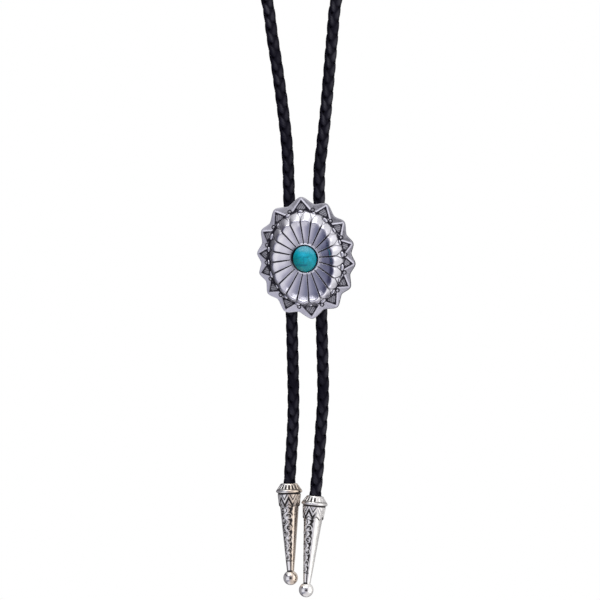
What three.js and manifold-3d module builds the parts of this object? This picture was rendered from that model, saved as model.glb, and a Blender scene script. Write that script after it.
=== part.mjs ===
// A bolo tie in millimetres, +Z up, its front facing -Y: a braided leather cord round the neck, an oval
// cast slide with a turquoise stone that runs on the cord's two halves, and a cast cone tip on each end.
// The origin is where the cord rests on the nape of the neck.
import * as THREE from "three";
import { mergeVertices } from "three/addons/utils/BufferGeometryUtils.js";
import Module from "manifold-3d";

const wasm = await Module();
wasm.setup();

// Driving dimensions: fits
const FIT_GAP = 0.3;

// Driving dimensions: the cord, from the end in the left tip, round the nape, to the end in the right tip
const CORD_DIAMETER = 5;
const CORD_SIDES = 12;
const CORD_STEPS = 80;
const CORD_ROUTE = [
  [-6.1, -129, -375.5],
  [-6.3, -129.2, -367.5],
  [-5.5, -129.9, -354],
  [-4.7, -131.2, -340],
  [-4.5, -132.7, -325.7],
  [-5.2, -135.9, -293.8],
  [-6, -139.2, -262],
  [-6.7, -142.5, -230.2],
  [-7.4, -142.8, -216],
  [-8.9, -142.2, -202],
  [-11.3, -140.4, -184],
  [-14, -137.5, -166.5],
  [-16.6, -133.5, -149],
  [-24, -123, -119],
  [-41, -103, -81],
  [-55, -76, -49],
  [-60, -47, -26],
  [-50, -17, -9],
  [-27, -0.6, -1.5],
  [0, 2.8, 0],
  [27, -0.6, -1.5],
  [50, -17, -9],
  [60, -47, -26],
  [55, -76, -49],
  [40.5, -103, -81],
  [22.5, -123, -119],
  [14.9, -133.8, -149],
  [12.9, -138.2, -166.5],
  [11.4, -141.6, -184],
  [9.8, -144, -202],
  [8.3, -145, -216],
  [7, -144.9, -230.1],
  [7.4, -141.6, -262],
  [8.1, -138.3, -293.8],
  [8.8, -135.1, -325.6],
  [8.3, -133.6, -341],
  [7.2, -132.1, -357],
  [5.8, -131.2, -372.7],
  [5, -131, -380.7],
];

// Driving dimensions: where the slide sits, midway between the two cord axes, and its turn from square
const SLIDE_CENTRE = [0.8, -140, -266];
const SLIDE_YAW_DEG = 10;
const SLIDE_PITCH_DEG = 6;
const SLIDE_LEAN_DEG = 0.25;
const CORD_SPACING = 13.6;

// Driving dimensions: the clip behind the slide, a plate with two channels for the cord
const CLIP_WIDTH = 24;
const CLIP_HEIGHT = 18;
const CHANNEL_WALL = 0.8;
const CHANNEL_SIDES = 24;

// Driving dimensions: the concho. Heights run forward from the back of the rim's points
const CONCHO_BACK_TO_CORD = 3;
const CONCHO_SHIFT_RIGHT = 1.35;
const CONCHO_SHIFT_UP = 0.5;
const CONCHO_TURN_DEG = 4.2;
const STONE_DIAMETER = 12;
const STONE_HEIGHT = 3.6;
const STONE_GIRDLE = 0.9;
const STONE_SIDES = 28;
const STONE_STEPS = 7;
const SEAT_HEIGHT = 3.6;
const COLLAR_WALL = 0.7;
const COLLAR_HEIGHT = 5.2;
const FLUTES = 20;
const FLUTE_PHASE_DEG = 2;
const PETAL_CROWN = 0.12;
const PLAIN_EDGE = 0.25;

// The face from collar to foot: half width, half height and height of each oval, the share of a flute's
// step from its groove to the petal's edge, and how deep the groove and the forked edge are cut there.
const FACE_OVALS = [
  { across: 7.2, up: 7.2, height: 4.2, edge: 0.12, groove: 0, fork: 0 },
  { across: 8.2, up: 8.9, height: 4.35, edge: 0.1, groove: 0.4, fork: 0 },
  { across: 10.9, up: 13.6, height: 5, edge: 0.08, groove: 0.4, fork: 0 },
  { across: 12.9, up: 17.3, height: 6, edge: 0.07, groove: 0.4, fork: 0 },
  { across: 13.7, up: 18.1, height: 6.3, edge: 0.07, groove: 0.4, fork: 0 },
  { across: 14.4, up: 18.8, height: 6, edge: 0.1, groove: 0.3, fork: 0.1 },
  { across: 15.7, up: 20.1, height: 4.4, edge: 0.3, groove: 0, fork: 0.3 },
  { across: 17, up: 21.4, height: 2.6, edge: 0.48, groove: 0, fork: 0.2 },
  { across: 17, up: 21.4, height: 1.6, edge: 0.48, groove: 0, fork: 0 },
];

// The hollow back of the face, from foot to centre
const BACK_OVALS = [
  { across: 16.2, up: 20.6, height: 1.4 },
  { across: 14.6, up: 19, height: 3.2 },
  { across: 13.4, up: 17.8, height: 4.4 },
  { across: 10.5, up: 13.2, height: 3.4 },
  { across: 7, up: 7, height: 2.2 },
];

// The rim: a plate with pointed scallops from the foot of the face out to an oval of points
const RIM_POINTS = 14;
const RIM_FOOT = { across: 17, up: 21.4 };
const RIM_VALLEY = { across: 20.6, up: 25.4 };
const RIM_TIP = { across: 21.9, up: 27.9 };
const SCALLOP_POWER = 1.7;
const SCALLOP_SHARES = [0.04, 0.16, 0.33, 0.5, 0.67, 0.84, 0.96];
const RIM_AT_FOOT = { front: 2.6, back: 1.2 };
const RIM_AT_EDGE = { front: 1.4, back: 0 };
const RIM_EDGE_ROUND = 0.25;

// The rim's section, from inside the face over the edge to the back: share of the way out, and side
const RIM_SECTION = [
  { out: -0.16, side: "front", drop: 0 },
  { out: 0.55, side: "front", drop: 0 },
  { out: 0.93, side: "front", drop: 0 },
  { out: 1, side: "front", drop: RIM_EDGE_ROUND },
  { out: 1, side: "back", drop: -RIM_EDGE_ROUND },
  { out: 0.93, side: "back", drop: 0 },
  { out: -0.16, side: "back", drop: 0 },
];

// Relief on the rim: a triangle on each point and a bead in each valley
const TRIANGLE_BASE_OUT = 0.1;
const TRIANGLE_APEX_OUT = 0.76;
const TRIANGLE_HALF_STEP = 0.34;
const RELIEF_RAISE = 0.3;
const RELIEF_SINK = 0.5;
const BEAD_DIAMETER = 1.1;
const BEAD_SIDES = 8;
const BEAD_STEPS = 5;
const BEAD_OUT = 0.36;

// Driving dimensions: the tips, as drops below the crown's top
const TIP_SIDES = 36;
const SOCKET_DEPTH = 8.3;
const MOUTH_CHAMFER = 0.3;
const CROWN_FLUTE = 0.35;
const CHEVRON_RAISE = 0.35;
const CHEVRON_SAMPLES = 4;
const VINE_RAISE = 0.35;
const LEAF_RAISE = 0.22;
const VINE_SAMPLES = 12;
const VINE_PATH = [6, 9, 6, 3];
const CROWN_PLAIN = [
  { drop: 0, radius: 3.6 },
  { drop: 0.4, radius: 3.95 },
];
const CROWN_FLUTED = [
  { drop: 0.6, radius: 4.1 },
  { drop: 2.5, radius: 5.35 },
];
const GIRDLE = [
  { drop: 2.8, radius: 5.55 },
  { drop: 3.2, radius: 5.9 },
  { drop: 3.8, radius: 5.9 },
  { drop: 4.2, radius: 5.5 },
  { drop: 4.5, radius: 5 },
];
const CHEVRON_BAND = [
  { drop: 5.1, radius: 5.1 },
  { drop: 7.2, radius: 4.75 },
  { drop: 9.3, radius: 4.35 },
];
const BAND_FOOT = { drop: 9.9, radius: 4.35 };
const BODY_TOP = { drop: 10.3, radius: 4.15 };
const BODY_FOOT = { drop: 37, radius: 1.85 };
const BODY_ROWS = 8;
const NECK = { drop: 39.6, radius: 1.6 };
const BALL_RADIUS = 3.2;
const BALL_CENTRE_DROP = 42.6;
const BALL_STEPS = 6;

// Where each tip hangs: the middle of its crown's top, and its lean to the viewer's right going down
const TIPS = [
  { name: "tip_left", crown: [-6.3, -129.2, -367.5], lean_deg: 0.95 },
  { name: "tip_right", crown: [5.8, -131.2, -372.7], lean_deg: -5.9 },
];

const LEATHER = new THREE.MeshStandardMaterial({ color: 0x141318, roughness: 0.5 });
const SILVER = new THREE.MeshStandardMaterial({ color: 0xb9b7c2, roughness: 0.35, metalness: 1 });
const TURQUOISE = new THREE.MeshStandardMaterial({ color: 0x1fa3ad, roughness: 0.25 });

const radians = THREE.MathUtils.degToRad;
const lerp = THREE.MathUtils.lerp;

// A closed solid from rings of equally many points. Each ring joins the next, and the ends are either
// joined to each other or closed to a middle point. Points run anticlockwise seen from the first ring.
function ringGeometry(rings, middles) {
  const count = rings[0].length;
  const points = rings.flat();
  const index = [];
  const joined = middles ? rings.length - 1 : rings.length;
  for (let i = 0; i < joined; i += 1) {
    const here = i * count;
    const next = ((i + 1) % rings.length) * count;
    for (let j = 0; j < count; j += 1) {
      const k = (j + 1) % count;
      index.push(here + j, next + j, next + k);
      index.push(here + j, next + k, here + k);
    }
  }
  if (middles) {
    const last = (rings.length - 1) * count;
    const first = points.length;
    points.push(...middles);
    for (let j = 0; j < count; j += 1) {
      const k = (j + 1) % count;
      index.push(first, j, k);
      index.push(last + j, first + 1, last + k);
    }
  }
  const geometry = new THREE.BufferGeometry().setFromPoints(points);
  geometry.setIndex(index);
  geometry.computeVertexNormals();
  return geometry;
}

function toSolid(geometry) {
  const bare = geometry.clone();
  bare.deleteAttribute("normal");
  bare.deleteAttribute("uv");
  const merged = mergeVertices(bare);
  const vertProperties = new Float32Array(merged.attributes.position.array);
  const triVerts = new Uint32Array(merged.index.array);
  return new wasm.Manifold(new wasm.Mesh({ numProp: 3, vertProperties, triVerts }));
}

function toGeometry(solid) {
  const mesh = solid.getMesh();
  const geometry = new THREE.BufferGeometry();
  geometry.setAttribute("position", new THREE.BufferAttribute(mesh.vertProperties, 3));
  geometry.setIndex(new THREE.BufferAttribute(mesh.triVerts, 1));
  geometry.computeVertexNormals();
  return geometry;
}

function namedMesh(name, geometry, material) {
  const mesh = new THREE.Mesh(geometry, material);
  mesh.name = name;
  return mesh;
}

// A point of the concho: to the right, up, and forward of the back of the rim's points
function conchoPoint(right, up, height) {
  return new THREE.Vector3(right, -height, up);
}

// The cord is a plain round tube along its whole route; its plaiting is a matter of finish
function braidedCord() {
  const section = new THREE.Shape();
  section.absarc(0, 0, CORD_DIAMETER / 2, 0, 2 * Math.PI);
  const points = CORD_ROUTE.map((point) => new THREE.Vector3(...point));
  const route = new THREE.CatmullRomCurve3(points, false, "catmullrom");
  const geometry = new THREE.ExtrudeGeometry(section, {
    steps: CORD_STEPS,
    curveSegments: CORD_SIDES / 2,
    extrudePath: route,
  });
  return namedMesh("braided_cord", geometry, LEATHER);
}

// One oval of the fluted face: each flute has its groove, two petal edges and a petal middle
function faceRing(oval) {
  const ring = [];
  for (let flute = 0; flute < FLUTES; flute += 1) {
    const samples = [
      { share: 0, cut: oval.groove },
      { share: oval.edge, cut: oval.fork },
      { share: 0.5, cut: oval.groove > 0 ? -PETAL_CROWN : 0 },
      { share: 1 - oval.edge, cut: oval.fork },
    ];
    for (const sample of samples) {
      const angle = radians(FLUTE_PHASE_DEG) + ((flute + sample.share) / FLUTES) * 2 * Math.PI;
      const right = oval.across * Math.cos(angle);
      const up = oval.up * Math.sin(angle);
      ring.push(conchoPoint(right, up, oval.height - sample.cut));
    }
  }
  return ring;
}

// The face with its seat and collar for the stone, and its hollow back
function faceGeometry() {
  const plain = { edge: PLAIN_EDGE, groove: 0, fork: 0 };
  const inside = STONE_DIAMETER / 2 + FIT_GAP;
  const outside = inside + COLLAR_WALL;
  const collar = [
    { across: inside, up: inside, height: SEAT_HEIGHT, ...plain },
    { across: inside, up: inside, height: COLLAR_HEIGHT, ...plain },
    { across: outside, up: outside, height: COLLAR_HEIGHT, ...plain },
  ];
  const back = BACK_OVALS.map((oval) => ({ ...oval, ...plain }));
  const rings = [...collar, ...FACE_OVALS, ...back].map(faceRing);
  const backHeight = BACK_OVALS.at(-1).height;
  return ringGeometry(rings, [conchoPoint(0, 0, SEAT_HEIGHT), conchoPoint(0, 0, backHeight)]);
}

// How far an oval lies from its middle in a given direction
function ovalReach(oval, angle) {
  const right = Math.cos(angle) / oval.across;
  const up = Math.sin(angle) / oval.up;
  return 1 / Math.hypot(right, up);
}

// Directions on the rim count in steps from the point at the top, one step from point to point
function rimAngle(steps) {
  return Math.PI / 2 + (steps / RIM_POINTS) * 2 * Math.PI;
}

function rimReach(steps, out) {
  const angle = rimAngle(steps);
  const share = steps - Math.floor(steps);
  const rise = Math.abs(2 * share - 1) ** SCALLOP_POWER;
  const edge = lerp(ovalReach(RIM_VALLEY, angle), ovalReach(RIM_TIP, angle), rise);
  return lerp(ovalReach(RIM_FOOT, angle), edge, out);
}

function rimHeight(side, out) {
  return lerp(RIM_AT_FOOT[side], RIM_AT_EDGE[side], out);
}

function rimPoint(steps, reach, height) {
  const angle = rimAngle(steps);
  return conchoPoint(reach * Math.cos(angle), reach * Math.sin(angle), height);
}

function rimGeometry() {
  const rings = RIM_SECTION.map((row) => {
    const ring = [];
    for (let point = 0; point < RIM_POINTS; point += 1) {
      for (const share of SCALLOP_SHARES) {
        const steps = point + share;
        ring.push(rimPoint(steps, rimReach(steps, row.out), rimHeight(row.side, row.out) - row.drop));
      }
    }
    return ring;
  });
  return ringGeometry(rings);
}

// A low three-sided prism on one point of the rim, its apex outward
function triangleGeometry(point) {
  const corners = [
    { steps: point - TRIANGLE_HALF_STEP, out: TRIANGLE_BASE_OUT },
    { steps: point, out: TRIANGLE_APEX_OUT },
    { steps: point + TRIANGLE_HALF_STEP, out: TRIANGLE_BASE_OUT },
  ];
  const level = (lift) =>
    corners.map(({ steps, out }) => {
      const reach = lerp(rimReach(point, 0), rimReach(point, 1), out);
      return rimPoint(steps, reach, rimHeight("front", out) + lift);
    });
  const middle = (ring) => new THREE.Triangle(...ring).getMidpoint(new THREE.Vector3());
  const top = level(RELIEF_RAISE);
  const foot = level(-RELIEF_SINK);
  return ringGeometry([top, foot], [middle(top), middle(foot)]);
}

function beadGeometry(point) {
  const steps = point + 0.5;
  const centre = rimPoint(steps, rimReach(steps, BEAD_OUT), rimHeight("front", BEAD_OUT));
  const bead = new THREE.SphereGeometry(BEAD_DIAMETER / 2, BEAD_SIDES, BEAD_STEPS);
  return bead.translate(centre.x, centre.y, centre.z);
}

// The whole concho is one casting: face, rim and relief
function concho() {
  let solid = toSolid(faceGeometry()).add(toSolid(rimGeometry()));
  for (let point = 0; point < RIM_POINTS; point += 1) {
    solid = solid.add(toSolid(triangleGeometry(point)));
    solid = solid.add(toSolid(beadGeometry(point)));
  }
  return namedMesh("concho", toGeometry(solid), SILVER);
}

// A round cabochon: a short upright girdle under an elliptical dome
function turquoiseCabochon() {
  const radius = STONE_DIAMETER / 2;
  const profile = [new THREE.Vector2(0, 0), new THREE.Vector2(radius, 0)];
  for (let step = 0; step < STONE_STEPS; step += 1) {
    const angle = (step / STONE_STEPS) * (Math.PI / 2);
    const height = STONE_GIRDLE + (STONE_HEIGHT - STONE_GIRDLE) * Math.sin(angle);
    profile.push(new THREE.Vector2(radius * Math.cos(angle), height));
  }
  profile.push(new THREE.Vector2(0, STONE_HEIGHT));
  const geometry = new THREE.LatheGeometry(profile, STONE_SIDES).rotateX(Math.PI);
  const stone = namedMesh("turquoise_cabochon", geometry, TURQUOISE);
  stone.position.copy(conchoPoint(0, 0, SEAT_HEIGHT + FIT_GAP));
  return stone;
}

// The clip: a flat plate seated behind the face, and two channels that the cord runs through
function slideClip() {
  const bore = CORD_DIAMETER / 2 + FIT_GAP;
  const backHeight = BACK_OVALS.at(-1).height;
  const plateFront = -CONCHO_BACK_TO_CORD - backHeight + FIT_GAP;
  const plateBack = -CONCHO_BACK_TO_CORD;
  const plate = new THREE.BoxGeometry(CLIP_WIDTH, plateBack - plateFront, CLIP_HEIGHT);
  plate.translate(0, (plateFront + plateBack) / 2, 0);
  let solid = toSolid(plate);
  const sides = [-CORD_SPACING / 2, CORD_SPACING / 2];
  for (const x of sides) {
    const outside = bore + CHANNEL_WALL;
    const tube = new THREE.CylinderGeometry(outside, outside, CLIP_HEIGHT, CHANNEL_SIDES);
    solid = solid.add(toSolid(tube.rotateX(Math.PI / 2).translate(x, 0, 0)));
  }
  for (const x of sides) {
    const hole = new THREE.CylinderGeometry(bore, bore, 2 * CLIP_HEIGHT, CHANNEL_SIDES);
    solid = solid.subtract(toSolid(hole.rotateX(Math.PI / 2).translate(x, 0, 0)));
  }
  return namedMesh("slide_clip", toGeometry(solid), SILVER);
}

// How far a tip's surface is raised at one of the samples round it
function crownFlute(sample) {
  return sample % 2 === 0 ? 0 : -CROWN_FLUTE;
}

function chevronRaise(sample, row) {
  const place = sample % CHEVRON_SAMPLES;
  const onLine = place === row || place === CHEVRON_SAMPLES - row;
  return onLine ? CHEVRON_RAISE : 0;
}

function vineRaise(sample, row) {
  const place = sample % VINE_SAMPLES;
  const stem = VINE_PATH[row % VINE_PATH.length];
  if (place === stem) return VINE_RAISE;
  return place === (stem + VINE_SAMPLES / 2) % VINE_SAMPLES ? LEAF_RAISE : 0;
}

// A tip's outline from the socket's floor, over the crown and down to the ball
function tipOutline() {
  const socket = CORD_DIAMETER / 2 + FIT_GAP;
  const rows = [
    { drop: SOCKET_DEPTH, radius: socket },
    { drop: MOUTH_CHAMFER, radius: socket },
    { drop: 0, radius: socket + MOUTH_CHAMFER },
    ...CROWN_PLAIN,
    ...CROWN_FLUTED.map((ring) => ({ ...ring, raise: crownFlute })),
    ...GIRDLE,
    ...CHEVRON_BAND.map((ring, row) => ({ ...ring, raise: (sample) => chevronRaise(sample, row) })),
    BAND_FOOT,
  ];
  for (let row = 0; row < BODY_ROWS; row += 1) {
    const share = row / (BODY_ROWS - 1);
    const inner = row > 0 && row < BODY_ROWS - 1;
    rows.push({
      drop: lerp(BODY_TOP.drop, BODY_FOOT.drop, share),
      radius: lerp(BODY_TOP.radius, BODY_FOOT.radius, share),
      raise: inner ? (sample) => vineRaise(sample, row) : undefined,
    });
  }
  rows.push(NECK);
  const meet = Math.asin(NECK.radius / BALL_RADIUS);
  for (let step = 1; step < BALL_STEPS; step += 1) {
    const angle = lerp(meet, Math.PI, step / BALL_STEPS);
    rows.push({
      drop: BALL_CENTRE_DROP - BALL_RADIUS * Math.cos(angle),
      radius: BALL_RADIUS * Math.sin(angle),
    });
  }
  return rows;
}

function tip({ name, crown, lean_deg }) {
  const rings = tipOutline().map(({ drop, radius, raise }) => {
    const ring = [];
    for (let sample = 0; sample < TIP_SIDES; sample += 1) {
      const angle = (sample / TIP_SIDES) * 2 * Math.PI;
      const reach = radius + (raise ? raise(sample) : 0);
      ring.push(new THREE.Vector3(reach * Math.cos(angle), reach * Math.sin(angle), -drop));
    }
    return ring;
  });
  const floor = new THREE.Vector3(0, 0, -SOCKET_DEPTH);
  const foot = new THREE.Vector3(0, 0, -BALL_CENTRE_DROP - BALL_RADIUS);
  const mesh = namedMesh(name, ringGeometry(rings, [floor, foot]), SILVER);
  mesh.position.set(...crown);
  mesh.rotation.y = radians(-lean_deg);
  return mesh;
}

const setConcho = new THREE.Group();
setConcho.position.set(CONCHO_SHIFT_RIGHT, -CONCHO_BACK_TO_CORD, CONCHO_SHIFT_UP);
setConcho.rotation.y = radians(-CONCHO_TURN_DEG);
setConcho.add(concho(), turquoiseCabochon());

const slide = new THREE.Group();
slide.position.set(...SLIDE_CENTRE);
slide.rotation.set(radians(SLIDE_PITCH_DEG), radians(-SLIDE_LEAN_DEG), radians(-SLIDE_YAW_DEG), "ZXY");
slide.add(setConcho, slideClip());

const boloTie = new THREE.Group();
boloTie.add(braidedCord(), slide, ...TIPS.map(tip));

export default boloTie;
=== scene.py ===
# %% [markdown]
# # A bolo tie, dressed in Blender
# A bolo tie is a braided leather cord worn round the neck. An oval cast slide, called a concho, draws
# its two halves together, and a cast tip closes each end. The solids of the part are loaded first and
# never moved. Every piece made below rides on one of their two bodies, the cord or the slide.

# %% Load the solids
import math

import bpy
import numpy as np
from mathutils import Matrix, Vector


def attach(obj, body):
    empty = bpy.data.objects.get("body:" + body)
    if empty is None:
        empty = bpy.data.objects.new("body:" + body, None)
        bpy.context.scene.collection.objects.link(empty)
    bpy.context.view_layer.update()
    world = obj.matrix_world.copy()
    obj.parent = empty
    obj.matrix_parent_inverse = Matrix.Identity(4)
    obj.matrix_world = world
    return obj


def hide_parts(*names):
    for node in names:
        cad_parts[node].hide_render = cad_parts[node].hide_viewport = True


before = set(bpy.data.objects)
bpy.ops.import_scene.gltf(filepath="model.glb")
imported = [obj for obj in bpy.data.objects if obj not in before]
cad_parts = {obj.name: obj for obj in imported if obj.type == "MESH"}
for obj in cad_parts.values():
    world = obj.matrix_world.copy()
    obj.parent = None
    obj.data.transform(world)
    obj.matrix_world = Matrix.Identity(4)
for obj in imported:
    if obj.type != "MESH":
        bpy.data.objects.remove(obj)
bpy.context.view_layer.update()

# %% [markdown]
# ## The camera
# The tie is seen level and square on through a long lens, so the rings of the tips look like straight
# lines. A far camera with a long lens gives that view, and keeps a little true perspective, which an
# orthographic camera would not.

# %% Camera
MM = 0.001
SENSOR_WIDTH = 36.0
VIEW_WIDTH = 0.270
VIEW_CENTRE = (-0.001575, -0.137, -0.284775)
CAMERA_DISTANCE = 3.0

bpy.ops.object.camera_add(
    location=(VIEW_CENTRE[0], VIEW_CENTRE[1] - CAMERA_DISTANCE, VIEW_CENTRE[2]),
    rotation=(math.radians(90), 0, 0),
)
camera = bpy.context.object
camera.data.sensor_width = SENSOR_WIDTH
camera.data.lens = SENSOR_WIDTH * CAMERA_DISTANCE / VIEW_WIDTH
bpy.context.scene.camera = camera
print("lens:", round(camera.data.lens), "mm")

# %% [markdown]
# ## A rolled sheet
# Every piece of this tie but the clip is a sheet of quads that is rolled round and closed: a lace of
# the plait, a casting with its relief, the stone. It could be built ring by ring with extrude, but a
# grid primitive gives all the rings at once. Its corners are set to their places in millimetres, the
# seam and the poles are merged, and the normals are turned outwards. Marks are numbers kept at the
# corners, such as how much oxide lies there, for the finishes to read.

# %% Helper for a rolled sheet
MERGE_DISTANCE = 0.001


def rolled_sheet(name, spots, marks=None, place=Matrix.Identity(4)):
    """A closed piece from rows of spots in millimetres. The last spot of a row repeats the first."""
    rows, spokes = spots.shape[:2]
    bpy.ops.object.select_all(action="DESELECT")
    bpy.ops.mesh.primitive_grid_add(x_subdivisions=spokes - 1, y_subdivisions=rows - 1, size=1)
    piece = bpy.context.object
    piece.name = piece.data.name = name
    piece.data.vertices.foreach_set("co", spots.astype(np.float32).ravel())
    for label, values in (marks or {}).items():
        layer = piece.data.attributes.new(label, "FLOAT", "POINT")
        layer.data.foreach_set("value", values.astype(np.float32).ravel())
    while piece.data.uv_layers:
        piece.data.uv_layers.remove(piece.data.uv_layers[0])
    bpy.ops.object.mode_set(mode="EDIT")
    bpy.ops.mesh.select_all(action="SELECT")
    bpy.ops.mesh.remove_doubles(threshold=MERGE_DISTANCE)
    bpy.ops.mesh.normals_make_consistent(inside=False)
    bpy.ops.object.mode_set(mode="OBJECT")
    bpy.ops.object.shade_smooth()
    piece.matrix_world = place @ Matrix.Scale(MM, 4)
    bpy.ops.object.transform_apply(location=True, rotation=True, scale=True)
    print(name, "has", len(piece.data.polygons), "faces")
    return piece


# %% [markdown]
# ## The cord's route
# The cord is one length of round plait, from inside the left tip, up through the slide, round the back
# of the neck and down again to the right tip. A curve object could hold it, but the plait needs the
# place of every ring. So its route is a list of points in millimetres, joined by a smooth curve, and
# read off again at even steps so that the plait keeps its pitch.

# %% Route of the cord
CORD_ROUTE = [
    (-6.1, -129, -375.5),
    (-6.3, -129.2, -367.5),
    (-5.5, -129.9, -354),
    (-4.7, -130.9, -340),
    (-4.55, -132.69, -325.7),
    (-5.27, -135.96, -293.8),
    (-5.99, -139.23, -262),
    (-6.7, -142.5, -230.2),
    (-7.4, -142.8, -216),
    (-8.9, -142.2, -202),
    (-11.3, -140.4, -184),
    (-14, -137.5, -166.5),
    (-16.6, -133.5, -149),
    (-24, -123, -119),
    (-41, -103, -81),
    (-55, -76, -49),
    (-60, -47, -26),
    (-50, -17, -9),
    (-27, -0.6, -1.5),
    (0, 2.8, 0),
    (27, -0.6, -1.5),
    (50, -17, -9),
    (60, -47, -26),
    (55, -76, -49),
    (40.5, -103, -81),
    (22.5, -123, -119),
    (14.9, -133.8, -149),
    (12.9, -138.2, -166.5),
    (11.4, -141.6, -184),
    (9.8, -144, -202),
    (8.3, -145, -216),
    (7, -144.9, -230.1),
    (7.41, -141.59, -262),
    (8.12, -138.32, -293.8),
    (8.84, -135.06, -325.6),
    (8.0, -133.2, -341),
    (6.8, -132.1, -357),
    (5.3, -131.2, -372.9),
    (4.5, -131, -380.9),
]
CURVE_STEPS = 60
PLAIT_PITCH = 13.0
RINGS_A_PITCH = 20


def smooth_route(points, steps):
    """Points on one smooth curve through all the given ones."""
    given = np.array(points, float)
    knots = np.vstack([2 * given[0] - given[1], given, 2 * given[-1] - given[-2]])
    t = np.linspace(0, 1, steps, endpoint=False)[:, None]
    spans = []
    for a, b, c, d in zip(knots, knots[1:], knots[2:], knots[3:]):
        cubic = (3 * b - a - 3 * c + d) * t**3
        square = (2 * a - 5 * b + 4 * c - d) * t**2
        spans.append(0.5 * (2 * b + (c - a) * t + square + cubic))
    return np.vstack([*spans, given[-1:]])


line = smooth_route(CORD_ROUTE, CURVE_STEPS)
line_along = np.concatenate([[0], np.cumsum(np.linalg.norm(np.diff(line, axis=0), axis=1))])
cord_length = line_along[-1]
repeats = round(cord_length / PLAIT_PITCH)
along = np.linspace(0, cord_length, repeats * RINGS_A_PITCH + 1)
spine = np.column_stack([np.interp(along, line_along, line[:, axis]) for axis in range(3)])
print("cord length:", round(cord_length), "mm, plait repeats:", repeats)

# %% [markdown]
# ## The plait
# The cord is a round plait of four flat leather laces. Two wind one way and two the other, and each
# goes over one and under one, so every crossing falls in one of four columns round the cord. Laces of
# one hand lie on a tube that is wide at two of the columns, those of the other hand on the same tube
# turned a quarter. Four curves with a bevel would give round strings, so the laces are swept by that
# rule and then joined. The plait turns a little on its way over the neck, and the side of it that
# faces away from the neck is rubbed, and is marked lighter as painted light from the front.

# %% Directions across the cord
FIRST_SIDE = (0.94, -0.34, 0.0)
TWIST_DEG = (-15.0, 54.0)
TWIST_SPAN = (0.3, 0.7)
NECK_AXIS = (0.0, -60.0)


def eased(share):
    """A share from nothing to one that starts and ends gently."""
    share = np.clip(share, 0, 1)
    return share * share * (3 - 2 * share)


heading = np.gradient(spine, axis=0)
heading /= np.linalg.norm(heading, axis=1)[:, None]
side = np.zeros_like(spine)
carried = np.array(FIRST_SIDE)
for station, forward in enumerate(heading):
    carried = carried - forward * (carried @ forward)
    carried /= np.linalg.norm(carried)
    side[station] = carried
other_side = np.cross(heading, side)
turned = eased((along / cord_length - TWIST_SPAN[0]) / (TWIST_SPAN[1] - TWIST_SPAN[0]))
twist = np.radians(TWIST_DEG[0] + (TWIST_DEG[1] - TWIST_DEG[0]) * turned)
outside = spine - np.column_stack([np.tile(NECK_AXIS, (len(spine), 1)), spine[:, 2]])
outside -= heading * np.sum(outside * heading, axis=1)[:, None]
outside /= np.linalg.norm(outside, axis=1)[:, None]
print("rings along the cord:", len(spine))

# %% Four laces
TINY = 1e-6
LACE_TUBE_RADIUS = 2.0
LACE_WEAVE = 0.25
LACE_HALF_THICK = 0.66
LACE_HALF_TURN = math.radians(77)
LACE_SECTION = 14
LACE_FULLNESS = 0.7
RUBBED_AND_LIT_WIDTH = (0.5, 0.08)
LACES = [(1, 0.0), (1, math.pi), (-1, 0.0), (-1, math.pi)]


def fade(distance, width, core=0.0):
    """One on a line, falling gently to nothing at a width from it. It stays one within the core."""
    return eased((width - distance) / np.maximum(width - core, TINY))


def lace(number, hand, phase):
    """One lace of the plait, hand +1 or -1 for the way it winds."""
    section = np.linspace(0, 2 * math.pi, LACE_SECTION + 1)[None, :]
    ends = np.ones(len(along))
    ends[[0, -1]] = 0
    across = np.cos(section) * ends[:, None]
    lift = np.sign(np.sin(section)) * np.abs(np.sin(section)) ** LACE_FULLNESS * ends[:, None]
    winding = hand * 2 * math.pi * along / (cord_length / repeats) + phase
    local = winding[:, None] + across * LACE_HALF_TURN
    weave = hand * np.cos(2 * local)
    reach = LACE_TUBE_RADIUS + LACE_WEAVE * weave + LACE_HALF_THICK * lift
    angle = local + twist[:, None]
    out = np.cos(angle)[..., None] * side[:, None, :] + np.sin(angle)[..., None] * other_side[:, None, :]
    spots = spine[:, None, :] + reach[..., None] * out
    full = LACE_TUBE_RADIUS + LACE_WEAVE + LACE_HALF_THICK
    marks = {
        "height": np.clip(reach / full, 0, 1),
        "across": across + 0 * reach,
        # Painted light: the side that faces away from the neck, towards the front, is marked as rubbed and
        # lit.
        "rubbed": fade(1 - np.sum(out * outside[:, None, :], axis=-1), *RUBBED_AND_LIT_WIDTH),
    }
    return rolled_sheet(f"lace_{number}", spots, marks)


laces = [lace(number, *way) for number, way in enumerate(LACES, 1)]
bpy.ops.object.select_all(action="DESELECT")
for one in laces:
    one.select_set(True)
bpy.context.view_layer.objects.active = laces[0]
bpy.ops.object.join()
cord_plait = laces[0]
cord_plait.name = cord_plait.data.name = "cord_plait"
print("cord_plait has", len(cord_plait.data.polygons), "faces")

# %% [markdown]
# ## Where the slide sits
# The slide hangs a little turned and tipped on the cords, and the concho leans in its clip. The concho
# is easier to shape lying flat on the bench, with its face up, so its sizes below are to the right, up
# and forward, and this matrix carries it from the bench to its place on the tie.

# %% Place of the slide
SLIDE_CENTRE = (0.8, -140, -266)
SLIDE_YAW_DEG = 10
SLIDE_PITCH_DEG = 6
SLIDE_LEAN_DEG = 0.25
CONCHO_PLACE = (1.15, -3, 0.5)
CONCHO_TURN_DEG = 3.7


def turn(degrees, axis):
    return Matrix.Rotation(math.radians(degrees), 4, axis)


def moved(spot):
    return Matrix.Translation([value * MM for value in spot])


slide_place = moved(SLIDE_CENTRE) @ turn(-SLIDE_YAW_DEG, "Z")
slide_place = slide_place @ turn(SLIDE_PITCH_DEG, "X") @ turn(-SLIDE_LEAN_DEG, "Y")
concho_place = slide_place @ moved(CONCHO_PLACE) @ turn(-CONCHO_TURN_DEG, "Y") @ turn(90, "X")
print("concho at", [round(value, 4) for value in concho_place.translation])
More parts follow.
